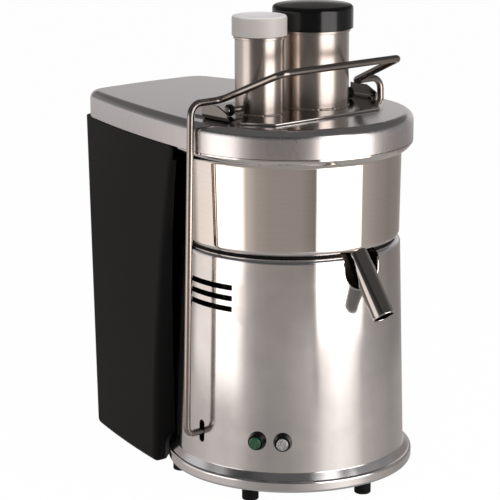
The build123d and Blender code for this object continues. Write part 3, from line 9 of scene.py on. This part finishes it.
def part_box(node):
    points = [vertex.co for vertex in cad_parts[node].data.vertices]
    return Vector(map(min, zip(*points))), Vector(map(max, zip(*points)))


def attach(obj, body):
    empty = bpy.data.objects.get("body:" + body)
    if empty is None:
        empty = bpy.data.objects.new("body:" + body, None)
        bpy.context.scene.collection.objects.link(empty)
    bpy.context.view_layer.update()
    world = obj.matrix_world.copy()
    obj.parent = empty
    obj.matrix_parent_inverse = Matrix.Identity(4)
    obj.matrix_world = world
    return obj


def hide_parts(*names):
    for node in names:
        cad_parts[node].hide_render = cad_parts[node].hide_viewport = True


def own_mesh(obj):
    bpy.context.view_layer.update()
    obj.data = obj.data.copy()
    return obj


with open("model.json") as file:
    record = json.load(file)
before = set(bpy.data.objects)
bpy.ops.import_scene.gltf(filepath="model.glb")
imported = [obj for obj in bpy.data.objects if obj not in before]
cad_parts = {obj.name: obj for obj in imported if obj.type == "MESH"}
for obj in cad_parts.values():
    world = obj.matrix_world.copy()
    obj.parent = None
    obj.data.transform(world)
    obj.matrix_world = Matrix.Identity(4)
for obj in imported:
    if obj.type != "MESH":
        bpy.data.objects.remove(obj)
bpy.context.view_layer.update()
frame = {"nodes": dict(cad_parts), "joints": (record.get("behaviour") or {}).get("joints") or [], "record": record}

FULL_TURN = 360.0
QUARTER_TURN = 90.0
MM_PER_METRE = 1000.0

# The photograph's view: degrees and metres about the motor axis, lens and sensor in millimetres
VIEW_AZIMUTH = -42.03
VIEW_DISTANCE = 2.041
VIEW_HEIGHT = 0.7227
VIEW_AIM_LEFT = 0.04055
VIEW_AIM_HEIGHT = 0.2268
VIEW_LENS = 149.43
VIEW_SENSOR = 36.0
VIEW_ROLL = -0.11

# Tints of the studio's light, and the strength at which a glow renders white
WARM = (1.0, 0.88, 0.81)
MILD = (1.0, 0.91, 0.86)
COOL = (1.0, 0.96, 0.955)
WHITE = (1.0, 1.0, 1.0)
WHITE_STRENGTH = 1.0

# Studio: a drum round the motor axis that only polished faces see, in metres, with the camera's side half
# a turn round from its seam
STUDIO_RADIUS = 0.70
STUDIO_STEPS = 96
STUDIO_BOTTOM = -0.25
STUDIO_TOP = 0.72
STUDIO_FRONT = 0.5
CEILING_GLOW = 0.11
TABLE_GLOW = 0.35

# Panels on the drum's wall, as degrees to the right of the camera and glow
TABLE_PANELS = [
    (-180, 0.45), (-125, 0.40), (-104, 0.50), (-80, 0.60), (-52, 0.60), (-38, 0.40), (-20, 0.31),
    (0, 0.33), (20, 0.49), (26, 0.64), (34, 0.95), (47, 1.16), (60, 0.98), (72, 0.52), (94, 0.40),
    (116, 0.33), (180, 0.45)]
LOW_PANELS = [
    (-180, 0.50), (-125, 0.32), (-111, 0.36), (-102, 0.98), (-78, 1.02), (-76, 1.60), (-54, 1.60),
    (-42, 0.58), (-32, 0.38), (-20, 0.34), (-5, 0.35), (12, 0.47), (20, 0.56), (25.5, 0.36),
    (30, 0.90), (48, 1.60), (58, 1.40), (66, 0.95), (71, 0.48), (94, 0.34), (116, 0.26), (140, 0.26),
    (180, 0.50)]
MAIN_PANELS = [
    (-180, 0.50), (-125, 0.30), (-111, 0.36), (-103, 0.88), (-78, 0.98), (-76, 1.80), (-48, 1.80),
    (-43, 0.58), (-32, 0.37), (-20, 0.31), (10, 0.30), (25, 0.20), (27, 4.50), (71, 4.50), (74, 0.44),
    (94, 0.31), (116, 0.235), (140, 0.26), (180, 0.50)]
HALL_PANELS = [
    (-180, 0.60), (-125, 0.52), (-105, 0.62), (-78, 0.72), (-76, 1.50), (-48, 1.50), (-43, 0.30),
    (-25, 0.14), (24, 0.13), (27, 2.40), (69, 2.40), (73, 0.40), (100, 0.24), (130, 0.30), (150, 0.60),
    (180, 0.60)]
UPPER_PANELS = [
    (-180, 0.52), (-150, 0.44), (-128, 0.20), (-85, 0.26), (-72, 0.50), (-54, 0.50), (-40, 0.09),
    (20, 0.07), (24, 0.12), (27, 2.40), (63, 2.40), (70, 0.30), (100, 0.24), (130, 0.30), (150, 0.60),
    (180, 0.52)]
ROOF_PANELS = [
    (-180, 0.13), (-110, 0.13), (-95, 0.05), (20, 0.05), (25, 0.10), (28, 1.80), (48, 1.80), (57, 0.13),
    (180, 0.13)]

# The drum's tiers from the table up: panels, tint and the heights over which a tier fades into the next
TIERS = [
    (TABLE_PANELS, MILD, (-0.09, -0.02)),
    (LOW_PANELS, MILD, (0.0, 0.11)),
    (MAIN_PANELS, WARM, (0.18, 0.28)),
    (HALL_PANELS, COOL, (0.38, 0.44)),
    (UPPER_PANELS, COOL, (0.52, 0.58)),
    (ROOF_PANELS, COOL, None),
]

# Lamps for the matt faces: degrees to the right of the camera, distance, height, size and power
LAMPS = {
    "lamp_right": (52.0, 1.3, 0.75, 0.9, 11.5),
    "lamp_left": (-65.0, 1.3, 0.75, 0.8, 4.0),
    "lamp_top": (0.0, 0.0, 1.6, 1.5, 10.0),
}
AMBIENT = 0.15
FLOOR_SIZE = 12.0
FLOOR_DROP = 0.0004
FLOOR_COLOUR = (0.86, 0.86, 0.86)
FLOOR_WHITE_SHARE = 0.985

# Shares of a noise at which a finish has its first and its second tone
TONE_ENDS = (0.3, 0.7)
METAL_ENDS = (0.35, 0.65)
LENS_ENDS = (0.15, 0.6)

# Shares of the slow wave and the turning lines in the casting's relief, and of grain in the tubes' tone
CASTING_WAVE = 0.9
CASTING_LINES = 0.002
TUBE_GRAIN = 0.6

# How far up a face looks where the lid's polish and the cap's painted light on its dish begin and are full
LID_TOP_SPAN = (0.1, 0.5)
CAP_PAINTED_LIGHT_SPAN = (0.55, 0.95)

# Plain metal, mouldings and lenses: the other tone, spread of roughness, depth, and waves to the metre
METAL_DARKER = 0.88
METAL_SPREAD = 0.12
METAL_DEPTH = 0.00005
MOULD_LIGHTER = 1.12
MOULD_SPREAD = 0.10
MOULD_CLOUDS = 14.0
LENS_CELLS = 620.0

# Sockets of a Mix node of colours: its share, its two colours and its result
MIX_SHARE, MIX_FIRST, MIX_SECOND, MIX_RESULT = 0, 6, 7, 2

# Steps round a bead's section and round one turn of a coil
ROUND_STEPS = 12
COIL_STEPS = 24

# Welds at the feet of the tubes, in metres
WELD_RADIUS = 0.0011
WELD_RIPPLE = 0.18
WELD_RIPPLES = 46
WELD_STEPS = 276
TUBE_RIM = 0.0014
SHEET = 0.002

# Rolled front edge of the plate under the tubes, in metres
HEM_RADIUS = 0.0011
PLATE_FRONT = 0.0625
PLATE_SIDE_FRONT = 0.034
PLATE_LEFT_CUT = 0.025
PLATE_RIGHT_CUT = 0.039
PLATE_SIDE_INSET = 0.005

# Lip of the spout, in metres
LIP_RADIUS = 0.0008
LIP_STEPS = 72
SPOUT_WALL = 0.0012

# Rolled edge of the spout notch, in metres and degrees
TRIM_RADIUS = 0.0013
TRIM_PROUD = 0.0005
TRIM_STEPS = 12
NOTCH_HALF_WIDTH = 0.022
NOTCH_DEPTH = 0.034
NOTCH_ROUND = 0.020
NOTCH_TRIM_START = 0.005
NOTCH_ANGLE = -2.4
HOUSING_TOP_RADIUS = 0.1108
HOUSING_WIDENING = 0.0058
HOUSING_HEIGHT = 0.213

# Spring coils: wire radius in metres, turns, and the travel of their joint in metres
LATCH_COIL = (0.0007, 5, 0.006)
BUTTON_COIL = (0.00045, 4, 0.002)


def joint_named(name):
    return next(joint for joint in frame["joints"] if joint["name"] == name)


AXIS = Vector((*joint_named("basket_spin")["pos_m"][:2], 0.0))


class Wire:
    """An output socket on which plain arithmetic adds Math nodes."""

    def __init__(self, look, socket):
        self.look = look
        self.socket = socket

    def __add__(self, other):
        return self.look.maths("ADD", self, other)

    def __radd__(self, other):
        return self.look.maths("ADD", other, self)

    def __sub__(self, other):
        return self.look.maths("SUBTRACT", self, other)

    def __rsub__(self, other):
        return self.look.maths("SUBTRACT", other, self)

    def __mul__(self, other):
        return self.look.maths("MULTIPLY", self, other)

    def __rmul__(self, other):
        return self.look.maths("MULTIPLY", other, self)


class Look:
    """The node tree of one material or of the world."""

    def __init__(self, owner):
        self.owner = owner
        owner.use_nodes = True
        self.tree = owner.node_tree
        self.tree.nodes.clear()

    def node(self, kind, settings=None, inputs=None, output=0):
        """Adds a node: its settings first, then the values or wires of its sockets."""
        made = self.tree.nodes.new(kind)
        for name, value in (settings or {}).items():
            if name == "stops":
                set_stops(made.color_ramp, value)
            else:
                setattr(made, name, value)
        for name, value in (inputs or {}).items():
            socket = made.inputs[name]
            if isinstance(value, Wire):
                self.tree.links.new(value.socket, socket)
            else:
                socket.default_value = value
        return Wire(self, made.outputs[output]) if made.outputs else made

    def maths(self, operation, first, second):
        return self.node("ShaderNodeMath", {"operation": operation}, {0: first, 1: second})

    def place(self):
        """Position on the piece, in metres."""
        return self.node("ShaderNodeTexCoord", output="Object")

    def along(self, axis, vector):
        """A vector's X, Y or Z."""
        return self.node("ShaderNodeSeparateXYZ", inputs={"Vector": vector}, output=axis)

    def upward(self):
        """How far a face looks up, from -1 to 1."""
        return self.along("Z", self.node("ShaderNodeNewGeometry", output="Normal"))

    def noise(self, per_metre, detail):
        """Noise with a number of waves to the metre, alike all ways or given for x, y and z."""
        vector, scale = self.place(), per_metre
        if isinstance(per_metre, tuple):
            vector = self.node("ShaderNodeMapping", inputs={"Vector": vector, "Scale": per_metre})
            scale = 1.0
        return self.node("ShaderNodeTexNoise", inputs={"Vector": vector, "Scale": scale, "Detail": detail})

    def ramp(self, value, stops):
        return self.node("ShaderNodeValToRGB", {"stops": stops}, {"Fac": value})

    def tones(self, value, first, second, ends=TONE_ENDS):
        """Colour that goes from one tone to another with a noise."""
        return self.ramp(value, list(zip(ends, (first, second))))

    def blend(self, share, first, second):
        """Mixes two colours."""
        sockets = {MIX_SHARE: share, MIX_FIRST: first, MIX_SECOND: second}
        return self.node("ShaderNodeMix", {"data_type": "RGBA"}, sockets, MIX_RESULT)

    def bump(self, height, depth):
        """Relief whose full height is a depth in metres."""
        return self.node("ShaderNodeBump", inputs={"Height": height, "Distance": depth})

    def rise(self, value, span):
        """Smooth step from 0 to 1 over a span."""
        return self.node("ShaderNodeMapRange", {"interpolation_type": "SMOOTHSTEP"}, {
            "Value": value, "From Min": span[0], "From Max": span[1]})

    def show(self, shader, output="ShaderNodeOutputMaterial"):
        """Joins a shader to the output."""
        self.node(output, inputs={"Surface": shader})
        return self.owner

    def mixed(self, share, first, second):
        """Mixes two shaders."""
        return self.node("ShaderNodeMixShader", inputs={0: share, 1: first, 2: second})

    def glow(self, colour):
        """Plain glow to the output."""
        shader = self.node("ShaderNodeEmission", inputs={"Color": colour, "Strength": WHITE_STRENGTH})
        return self.show(shader)

    def surface(self, **inputs):
        """Principled surface to the output."""
        sockets = {name.replace("_", " "): value for name, value in inputs.items()}
        return self.show(self.node("ShaderNodeBsdfPrincipled", inputs=sockets))

    def metal(self, **inputs):
        return self.surface(Metallic=1.0, **inputs)


def set_stops(color_ramp, stops):
    """Stops of a colour ramp as (position, colour)."""
    while len(color_ramp.elements) > 1:
        color_ramp.elements.remove(color_ramp.elements[-1])
    for i, (position, colour) in enumerate(stops):
        element = color_ramp.elements[0] if i == 0 else color_ramp.elements.new(position)
        element.position = position
        element.color = rgba(colour)


def rgba(colour):
    return (*colour, 1.0)


def tinted(value, tint):
    return tuple(value * share for share in tint)


def new_look(name):
    return Look(bpy.data.materials.new(name))


def polished_aluminium():
    """Buffed casting: clear reflections, a slow wave in the skin and faint turning lines."""
    look = new_look("polished_aluminium")
    wave = look.noise((9.0, 9.0, 6.0), detail=1.0)
    lines = look.noise((6.0, 6.0, 1600.0), detail=3.0)
    haze = look.noise(45.0, detail=4.0)
    return look.metal(
        Base_Color=look.tones(haze, (0.76, 0.76, 0.77), (0.82, 0.82, 0.82)),
        Roughness=0.10 + haze * 0.07,
        Normal=look.bump(wave * CASTING_WAVE + lines * CASTING_LINES, depth=0.0022))


def mirror_steel():
    """Mirror-polished stainless steel, a little warm, with very faint wiping marks."""
    look = new_look("mirror_steel")
    marks = look.noise((30.0, 30.0, 900.0), detail=3.0)
    wave = look.noise((7.0, 7.0, 5.0), detail=1.0)
    return look.metal(
        Base_Color=look.tones(marks, (0.84, 0.81, 0.78), (0.88, 0.85, 0.82)),
        Roughness=0.025 + marks * 0.02,
        Normal=look.bump(wave, depth=0.0004))


def lid_steel():
    """Polished top and satin skirt of the pressed lid."""
    look = new_look("lid_steel")
    grain = look.noise((900.0, 60.0, 60.0), detail=3.0)
    top = look.rise(look.upward(), LID_TOP_SPAN)
    return look.metal(
        Base_Color=look.tones(grain, (0.75, 0.73, 0.73), (0.79, 0.77, 0.77)),
        Roughness=0.26 - top * 0.12 + grain * 0.04,
        Normal=look.bump(grain, depth=0.000005))


def tube_steel():
    """Drawn tube with a fine lengthwise grain."""
    look = new_look("tube_steel")
    grain = look.noise((1500.0, 1500.0, 18.0), detail=3.0)
    cloud = look.noise(30.0, detail=3.0)
    tone = grain * TUBE_GRAIN + cloud * (1.0 - TUBE_GRAIN)
    return look.metal(
        Base_Color=look.tones(tone, (0.54, 0.48, 0.435), (0.64, 0.57, 0.52)),
        Roughness=0.20 + grain * 0.08,
        Normal=look.bump(grain, depth=0.00003))


def shaded_plate_steel():
    """Polished plate under the feed tubes, its colour darkened as painted shade."""
    look = new_look("shaded_plate_steel")
    grain = look.noise((40.0, 1100.0, 40.0), detail=3.0)
    return look.metal(
        # Painted shade: polished steel darkened where it lies under the tubes
        Base_Color=look.tones(grain, (0.29, 0.27, 0.25), (0.35, 0.325, 0.30)),
        Roughness=0.09 + grain * 0.06,
        Normal=look.bump(grain, depth=0.00001))


def shaded_spout_steel():
    """Polished spout with faint draw lines along it, coloured darker than the bowl as painted shade on its
    reflections.
    """
    look = new_look("shaded_spout_steel")
    lines = look.noise((900.0, 25.0, 25.0), detail=3.0)
    return look.metal(
        # Painted shade: the bowl's polished steel, darkened
        Base_Color=look.tones(lines, (0.40, 0.385, 0.36), (0.46, 0.44, 0.415)),
        Roughness=0.025 + lines * 0.03,
        Normal=look.bump(lines, depth=0.00001))


def rod_steel():
    """Drawn rod, softly polished."""
    look = new_look("rod_steel")
    grain = look.noise(700.0, detail=3.0)
    return look.metal(
        Base_Color=look.tones(grain, (0.34, 0.305, 0.28), (0.42, 0.38, 0.35)),
        Roughness=0.14 + grain * 0.10,
        Normal=look.bump(grain, depth=0.00002))


def plain_metal(name, colour, roughness, grains=260.0):
    """Machined or sheet metal with an uneven grain."""
    look = new_look(name)
    grain = look.noise(grains, detail=4.0)
    return look.metal(
        Base_Color=look.tones(grain, tinted(METAL_DARKER, colour), colour, METAL_ENDS),
        Roughness=roughness - METAL_SPREAD / 2 + grain * METAL_SPREAD,
        Normal=look.bump(grain, METAL_DEPTH))


def moulded(name, colour, roughness, pores, depth, gloss=0.5):
    """Moulded plastic or rubber with a fine surface texture."""
    look = new_look(name)
    texture = look.noise(pores, detail=4.0)
    cloud = look.noise(MOULD_CLOUDS, detail=2.0)
    return look.surface(
        Base_Color=look.tones(cloud, colour, tinted(MOULD_LIGHTER, colour)),
        Roughness=roughness - MOULD_SPREAD / 2 + texture * MOULD_SPREAD,
        Specular_IOR_Level=gloss,
        Normal=look.bump(texture, depth))


def milky_cap():
    """Milky white cap painted lit and shaded: faces that look up get a whiter colour, painted light on the dished
    top, and the side a greyer one, painted shade.
    """
    look = new_look("cap_white")
    texture = look.noise(500.0, detail=4.0)
    cloud = look.noise(22.0, detail=2.0)
    # Painted shade on the side and painted light on the dish: two tones of the same plastic
    side = look.tones(cloud, (0.60, 0.55, 0.52), (0.66, 0.605, 0.575))
    dish_painted_light = look.tones(cloud, (0.86, 0.83, 0.84), (0.92, 0.89, 0.90))
    return look.surface(
        # How far a face looks up picks the painted light over the painted shade
        Base_Color=look.blend(look.rise(look.upward(), CAP_PAINTED_LIGHT_SPAN), side, dish_painted_light),
        Roughness=0.31 + texture * 0.10,
        Normal=look.bump(texture, depth=0.00003))


def lens(name, deep, bright):
    """Clear moulded push-button lens with a cut pattern behind its face."""
    look = new_look(name)
    cells = look.node("ShaderNodeTexVoronoi", inputs={"Vector": look.place(), "Scale": LENS_CELLS})
    return look.surface(
        Base_Color=look.tones(cells, bright, deep, LENS_ENDS),
        Roughness=0.12,
        Coat_Weight=1.0,
        Coat_Roughness=0.03,
        Normal=look.bump(cells, depth=0.0002))


FINISHES = {
    "polished_aluminium": polished_aluminium(),
    "mirror_steel": mirror_steel(),
    "rod_steel": rod_steel(),
    "satin_steel": tube_steel(),
    "sheet_steel": plain_metal("sheet_steel", (0.62, 0.61, 0.60), 0.30),
    "fastener_steel": plain_metal("fastener_steel", (0.55, 0.53, 0.51), 0.24, 500.0),
    "spring_steel": plain_metal("spring_steel", (0.45, 0.45, 0.46), 0.30, 700.0),
    "cast_aluminium": plain_metal("cast_aluminium", (0.66, 0.66, 0.66), 0.45, 180.0),
    "motor_iron": plain_metal("motor_iron", (0.20, 0.20, 0.22), 0.50),
    "copper_winding": plain_metal("copper_winding", (0.60, 0.28, 0.12), 0.35, 900.0),
    "black_rubber": moulded("black_rubber", (0.005, 0.005, 0.005), 0.62, 900.0, 0.00006, gloss=0.15),
    "bin_black": moulded("bin_black", (0.009, 0.009, 0.009), 0.55, 1300.0, 0.00012, gloss=0.12),
    "cap_white": milky_cap(),
    "cap_black": moulded("cap_black", (0.002, 0.002, 0.002), 0.14, 700.0, 0.00001, gloss=0.55),
    "bezel_black": moulded("bezel_black", (0.003, 0.003, 0.003), 0.30, 800.0, 0.00002, gloss=0.16),
    "capacitor_grey": moulded("capacitor_grey", (0.50, 0.51, 0.53), 0.35, 600.0, 0.00003),
    "button_green": lens("button_green", (0.003, 0.065, 0.024), (0.012, 0.16, 0.066)),
    "button_clear": lens("button_clear", (0.28, 0.27, 0.26), (0.66, 0.65, 0.63)),
}

# Nodes that have a finish of their own in place of their slot's; the plate's, the spout's and the deck's are
# darkened copies that paint shade
NODE_FINISHES = {
    "lid": lid_steel(),
    "bridge_plate": shaded_plate_steel(),
    "juice_spout": shaded_spout_steel(),
    # Painted shade: the deck's near-black colour
    "top_deck": plain_metal("deck_shadowed", (0.10, 0.08, 0.07), 0.40),
}


def finish_nodes():
    """Gives each carried-over node the finish of its slot or its own."""
    for part in frame["record"]["subparts"]:
        material = NODE_FINISHES.get(part["node"], FINISHES[part["material_slot"]])
        node = frame["nodes"][part["node"]]
        node.data.materials.clear()
        node.data.materials.append(material)


def circle(count):
    """Angles of even steps round a circle."""
    return [tau * i / count for i in range(count)]


def mesh_piece(name, verts, faces, material):
    mesh = bpy.data.meshes.new(name)
    mesh.from_pydata(verts, [], faces)
    mesh.materials.append(material)
    piece = bpy.data.objects.new(name, mesh)
    bpy.context.scene.collection.objects.link(piece)
    return piece


def bead(points, radii, closed=False):
    """Corners and faces of a round bead along a line of points, with a radius at each of them."""
    verts, faces = [], []
    count = len(points)
    side = None
    for i, point in enumerate(points):
        before = points[i - 1] if closed or i else point
        after = points[(i + 1) % count] if closed or i + 1 < count else point
        along = (after - before).normalized()
        side = side or along.orthogonal()
        side = (side - along * side.dot(along)).normalized()
        up = along.cross(side)
        for a in circle(ROUND_STEPS):
            verts.append(point + (side * cos(a) + up * sin(a)) * radii[i])
    for i in range(count if closed else count - 1):
        here, there = i * ROUND_STEPS, (i + 1) % count * ROUND_STEPS
        for k in range(ROUND_STEPS):
            turn = (k + 1) % ROUND_STEPS
            faces.append((here + k, here + turn, there + turn, there + k))
    if not closed:
        faces.append(tuple(reversed(range(ROUND_STEPS))))
        faces.append(tuple(range((count - 1) * ROUND_STEPS, count * ROUND_STEPS)))
    return verts, faces


def beads_piece(name, finish, *beads):
    """One piece of the machine from several beads, smooth but for their flat ends."""
    verts, faces = [], []
    for some_verts, some_faces in beads:
        start = len(verts)
        verts += some_verts
        faces += [tuple(start + k for k in face) for face in some_faces]
    piece = mesh_piece(name, verts, faces, FINISHES[finish])
    for face in piece.data.polygons:
        face.use_smooth = len(face.vertices) == 4
    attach(piece, "machine")
    return piece


def ring_points(centre, along, radius, count):
    side = along.orthogonal().normalized()
    up = along.cross(side)
    return [centre + (side * cos(a) + up * sin(a)) * radius for a in circle(count)]


def top_of(node):
    """Height of a node's highest point."""
    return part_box(node)[1][2]


def weld_bead(name, tube):
    """Rippled weld round the foot of a feed tube."""
    low, high = (Vector(corner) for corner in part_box(tube))
    centre = (low + high) / 2
    radius = (high.x - low.x) / 2 - TUBE_RIM
    height = top_of("lid") + SHEET
    points = ring_points(Vector((centre.x, centre.y, height)), Vector((0, 0, 1)), radius, WELD_STEPS)
    radii = [WELD_RADIUS * (1.0 + WELD_RIPPLE * sin(a * WELD_RIPPLES)) for a in circle(WELD_STEPS)]
    beads_piece(name, "satin_steel", bead(points, radii, closed=True))


def spout_lip():
    """Rolled lip round the spout's outlet, flush with its end."""
    outlet = next(mount for mount in frame["record"]["mounts"] if mount["name"] == "spout_outlet")
    along = Vector(outlet["axis"]).normalized()
    centre = Vector(outlet["pos_m"]) - along * LIP_RADIUS
    radius = outlet["dims"]["r_mm"] / MM_PER_METRE + SPOUT_WALL / 2
    points = ring_points(centre, along, radius, LIP_STEPS)
    beads_piece("spout_lip", "mirror_steel", bead(points, [LIP_RADIUS] * LIP_STEPS, closed=True))


def plate_hem():
    """Rolled front edge of the plate under the tubes."""
    low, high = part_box("bridge_plate")
    half = (high[0] - low[0]) / 2
    height = top_of("lid") + SHEET - HEM_RADIUS / 2
    corners = [
        (PLATE_SIDE_INSET - half, -PLATE_SIDE_FRONT), (PLATE_LEFT_CUT - half, -PLATE_FRONT),
        (half - PLATE_RIGHT_CUT, -PLATE_FRONT), (half - PLATE_SIDE_INSET, -PLATE_SIDE_FRONT)]
    points = [AXIS + Vector((x, y, height)) for x, y in corners]
    beads_piece("plate_hem", "mirror_steel", bead(points, [HEM_RADIUS] * len(points)))


def notch_outline():
    """The spout notch's left half, from the top down to its middle, as (side, drop)."""
    line = [(-NOTCH_HALF_WIDTH, NOTCH_TRIM_START)]
    for i in range(TRIM_STEPS + 1):
        a = radians(QUARTER_TURN * i / TRIM_STEPS)
        side = -NOTCH_HALF_WIDTH + NOTCH_ROUND * (1.0 - cos(a))
        drop = NOTCH_DEPTH - NOTCH_ROUND * (1.0 - sin(a))
        line.append((side, drop))
    return line


def notch_trim():
    """Rolled edge of the spout notch, on the housing's face."""
    left = notch_outline()
    outline = left + [(-side, drop) for side, drop in reversed(left)]
    top = top_of("motor_housing")
    turn = Matrix.Rotation(radians(NOTCH_ANGLE), 3, "Z")
    points = []
    for side, drop in outline:
        face = HOUSING_TOP_RADIUS + HOUSING_WIDENING * drop / HOUSING_HEIGHT
        forward = ((face + TRIM_PROUD - TRIM_RADIUS) ** 2 - side ** 2) ** 0.5
        points.append(AXIS + turn @ Vector((side, -forward, top - drop)))
    beads_piece("notch_trim", "mirror_steel", bead(points, [TRIM_RADIUS] * len(points)))


def spread(points, along):
    """Least and greatest reach of some points along a direction."""
    reach = [p.dot(along) for p in points]
    return min(reach), max(reach)


def coil(points, axis, wire, turns):
    """Round coil in the space of a spring's solid, with its seat on the fixed part and its length."""
    side = axis.orthogonal().normalized()
    up = axis.cross(side)
    low, high = spread(points, axis)
    left, right = spread(points, side)
    middle = side * (left + right) / 2 + up * sum(spread(points, up)) / 2
    radius = (right - left) / 2 - wire
    count = COIL_STEPS * turns
    line = []
    for i in range(count + 1):
        a = tau * i / COIL_STEPS
        height = low + wire + (high - low - 2 * wire) * i / count
        line.append(middle + axis * height + (side * cos(a) + up * sin(a)) * radius)
    return bead(line, [wire] * len(line)), middle + axis * high, high - low


def spring_coils(name, node, joint, wire, turns, travel):
    """Coils in place of a node of springs."""
    axis = Vector(joint_named(joint)["axis"]).normalized()
    points = [v.co.copy() for v in frame["nodes"][node].data.vertices]
    sides = [[p for p in points if p.x < 0], [p for p in points if p.x >= 0]]
    beads, seats, lengths = zip(*(coil(group, axis, wire, turns) for group in sides if group))
    piece = beads_piece(name, "spring_steel", *beads)
    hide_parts(node)
    1.0 - travel / lengths[0]
    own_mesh(piece)


def direction(angle):
    """Horizontal direction at an angle to the right of the camera's azimuth."""
    a = radians(VIEW_AZIMUTH + angle)
    return Vector((sin(a), -cos(a), 0.0))


def aim(thing, target, roll=0.0):
    """Turns a lamp or camera to look at a point."""
    look_at = (target - thing.location).to_track_quat("-Z", "Y").to_matrix()
    thing.rotation_euler = (look_at @ Matrix.Rotation(radians(roll), 3, "Z")).to_euler()


def add_camera():
    """The photograph's camera."""
    data = bpy.data.cameras.new("view")
    data.lens = VIEW_LENS
    data.sensor_width = VIEW_SENSOR
    camera = bpy.data.objects.new("view", data)
    bpy.context.scene.collection.objects.link(camera)
    camera.location = AXIS + direction(0.0) * VIEW_DISTANCE + Vector((0, 0, VIEW_HEIGHT))
    target = AXIS - direction(QUARTER_TURN) * VIEW_AIM_LEFT + Vector((0, 0, VIEW_AIM_HEIGHT))
    aim(camera, target, VIEW_ROLL)
    bpy.context.scene.camera = camera


def add_lamps():
    """Square lamps for the matt faces, not seen by the camera or by polished faces."""
    for name, (angle, distance, height, size, power) in LAMPS.items():
        data = bpy.data.lights.new(name, "AREA")
        data.size = size
        data.energy = power
        lamp = bpy.data.objects.new(name, data)
        bpy.context.scene.collection.objects.link(lamp)
        lamp.location = AXIS + direction(angle) * distance + Vector((0, 0, height))
        aim(lamp, AXIS + Vector((0, 0, VIEW_AIM_HEIGHT)))
        lamp.visible_camera = False
        lamp.visible_glossy = False


def drum_glow():
    """Glow of the drum's panels, by the share of a turn from its seam and by height."""
    look = new_look("studio_drum")
    x, y, z = (look.along(axis, look.place()) for axis in "XYZ")
    turn = look.maths("ARCTAN2", x, y * -1.0) * (1.0 / tau) + STUDIO_FRONT
    shown = fade = None
    for panels, tint, span in TIERS:
        stops = [(STUDIO_FRONT + angle / FULL_TURN, tinted(value, tint)) for angle, value in panels]
        tier = look.ramp(turn, stops)
        shown = tier if shown is None else look.blend(fade, shown, tier)
        fade = look.rise(z, span) if span else None
    return look.glow(shown)


def plain_glow(name, value):
    return new_look(name).glow(rgba(tinted(value, COOL)))


def gloss_only(piece):
    """Keeps a studio piece to what polished metal sees."""
    for ray in ("camera", "diffuse", "transmission", "shadow", "volume_scatter"):
        setattr(piece, "visible_" + ray, False)
    piece.location = AXIS
    piece.rotation_euler = (0.0, 0.0, radians(VIEW_AZIMUTH))


def add_drum():
    """Wall of panels round the object, closed by a dark ceiling and a pale table."""
    n = STUDIO_STEPS
    rim = [(STUDIO_RADIUS * sin(a), -STUDIO_RADIUS * cos(a)) for a in circle(n)]
    low = [(x, y, STUDIO_BOTTOM) for x, y in rim]
    high = [(x, y, STUDIO_TOP) for x, y in rim]
    wall = [(i, (i + 1) % n, n + (i + 1) % n, n + i) for i in range(n)]
    gloss_only(mesh_piece("studio_drum", low + high, wall, drum_glow()))
    disc = [tuple(range(n))]
    gloss_only(mesh_piece("studio_ceiling", high, disc, plain_glow("studio_ceiling", CEILING_GLOW)))
    gloss_only(mesh_piece("studio_table", low, disc, plain_glow("studio_table", TABLE_GLOW)))


def add_floor():
    """Pale floor that renders near white to the camera and keeps the object's shadow."""
    look = new_look("floor")
    seen = look.node("ShaderNodeLightPath", output="Is Camera Ray")
    matt = look.node("ShaderNodeBsdfDiffuse", inputs={"Color": rgba(FLOOR_COLOUR)})
    white = look.node("ShaderNodeEmission", inputs={"Color": rgba(WHITE), "Strength": WHITE_STRENGTH})
    finish = look.show(look.mixed(seen * FLOOR_WHITE_SHARE, matt, white))
    half = FLOOR_SIZE / 2
    corners = [(x, y, -FLOOR_DROP) for x, y in ((-half, -half), (half, -half), (half, half), (-half, half))]
    floor = mesh_piece("floor", corners, [(0, 1, 2, 3)], finish)
    floor.visible_glossy = False


def add_world():
    """White to the camera, to gloss and through clear pieces, and a plain grey light elsewhere."""
    world = bpy.data.worlds.new("studio")
    bpy.context.scene.world = world
    look = Look(world)
    rays = ("Is Camera Ray", "Is Glossy Ray", "Is Transmission Ray")
    seen, gloss, through = (look.node("ShaderNodeLightPath", output=ray) for ray in rays)
    shown = look.maths("MAXIMUM", look.maths("MAXIMUM", seen, gloss), through)
    ambient, white = (
        look.node("ShaderNodeBackground", inputs={"Color": rgba(WHITE), "Strength": strength})
        for strength in (AMBIENT, WHITE_STRENGTH))
    look.show(look.mixed(shown, ambient, white), "ShaderNodeOutputWorld")


finish_nodes()
weld_bead("small_tube_weld", "small_feed_tube")
weld_bead("large_tube_weld", "large_feed_tube")
spout_lip()
plate_hem()
notch_trim()
spring_coils("latch_coils", "latch_springs", "latch_lift", *LATCH_COIL)
spring_coils("start_coil", "start_spring", "start_press", *BUTTON_COIL)
spring_coils("stop_coil", "stop_spring", "stop_press", *BUTTON_COIL)
add_camera()
add_lamps()
add_drum()
add_floor()
add_world()
bpy.context.scene.view_settings.view_transform = "Standard"
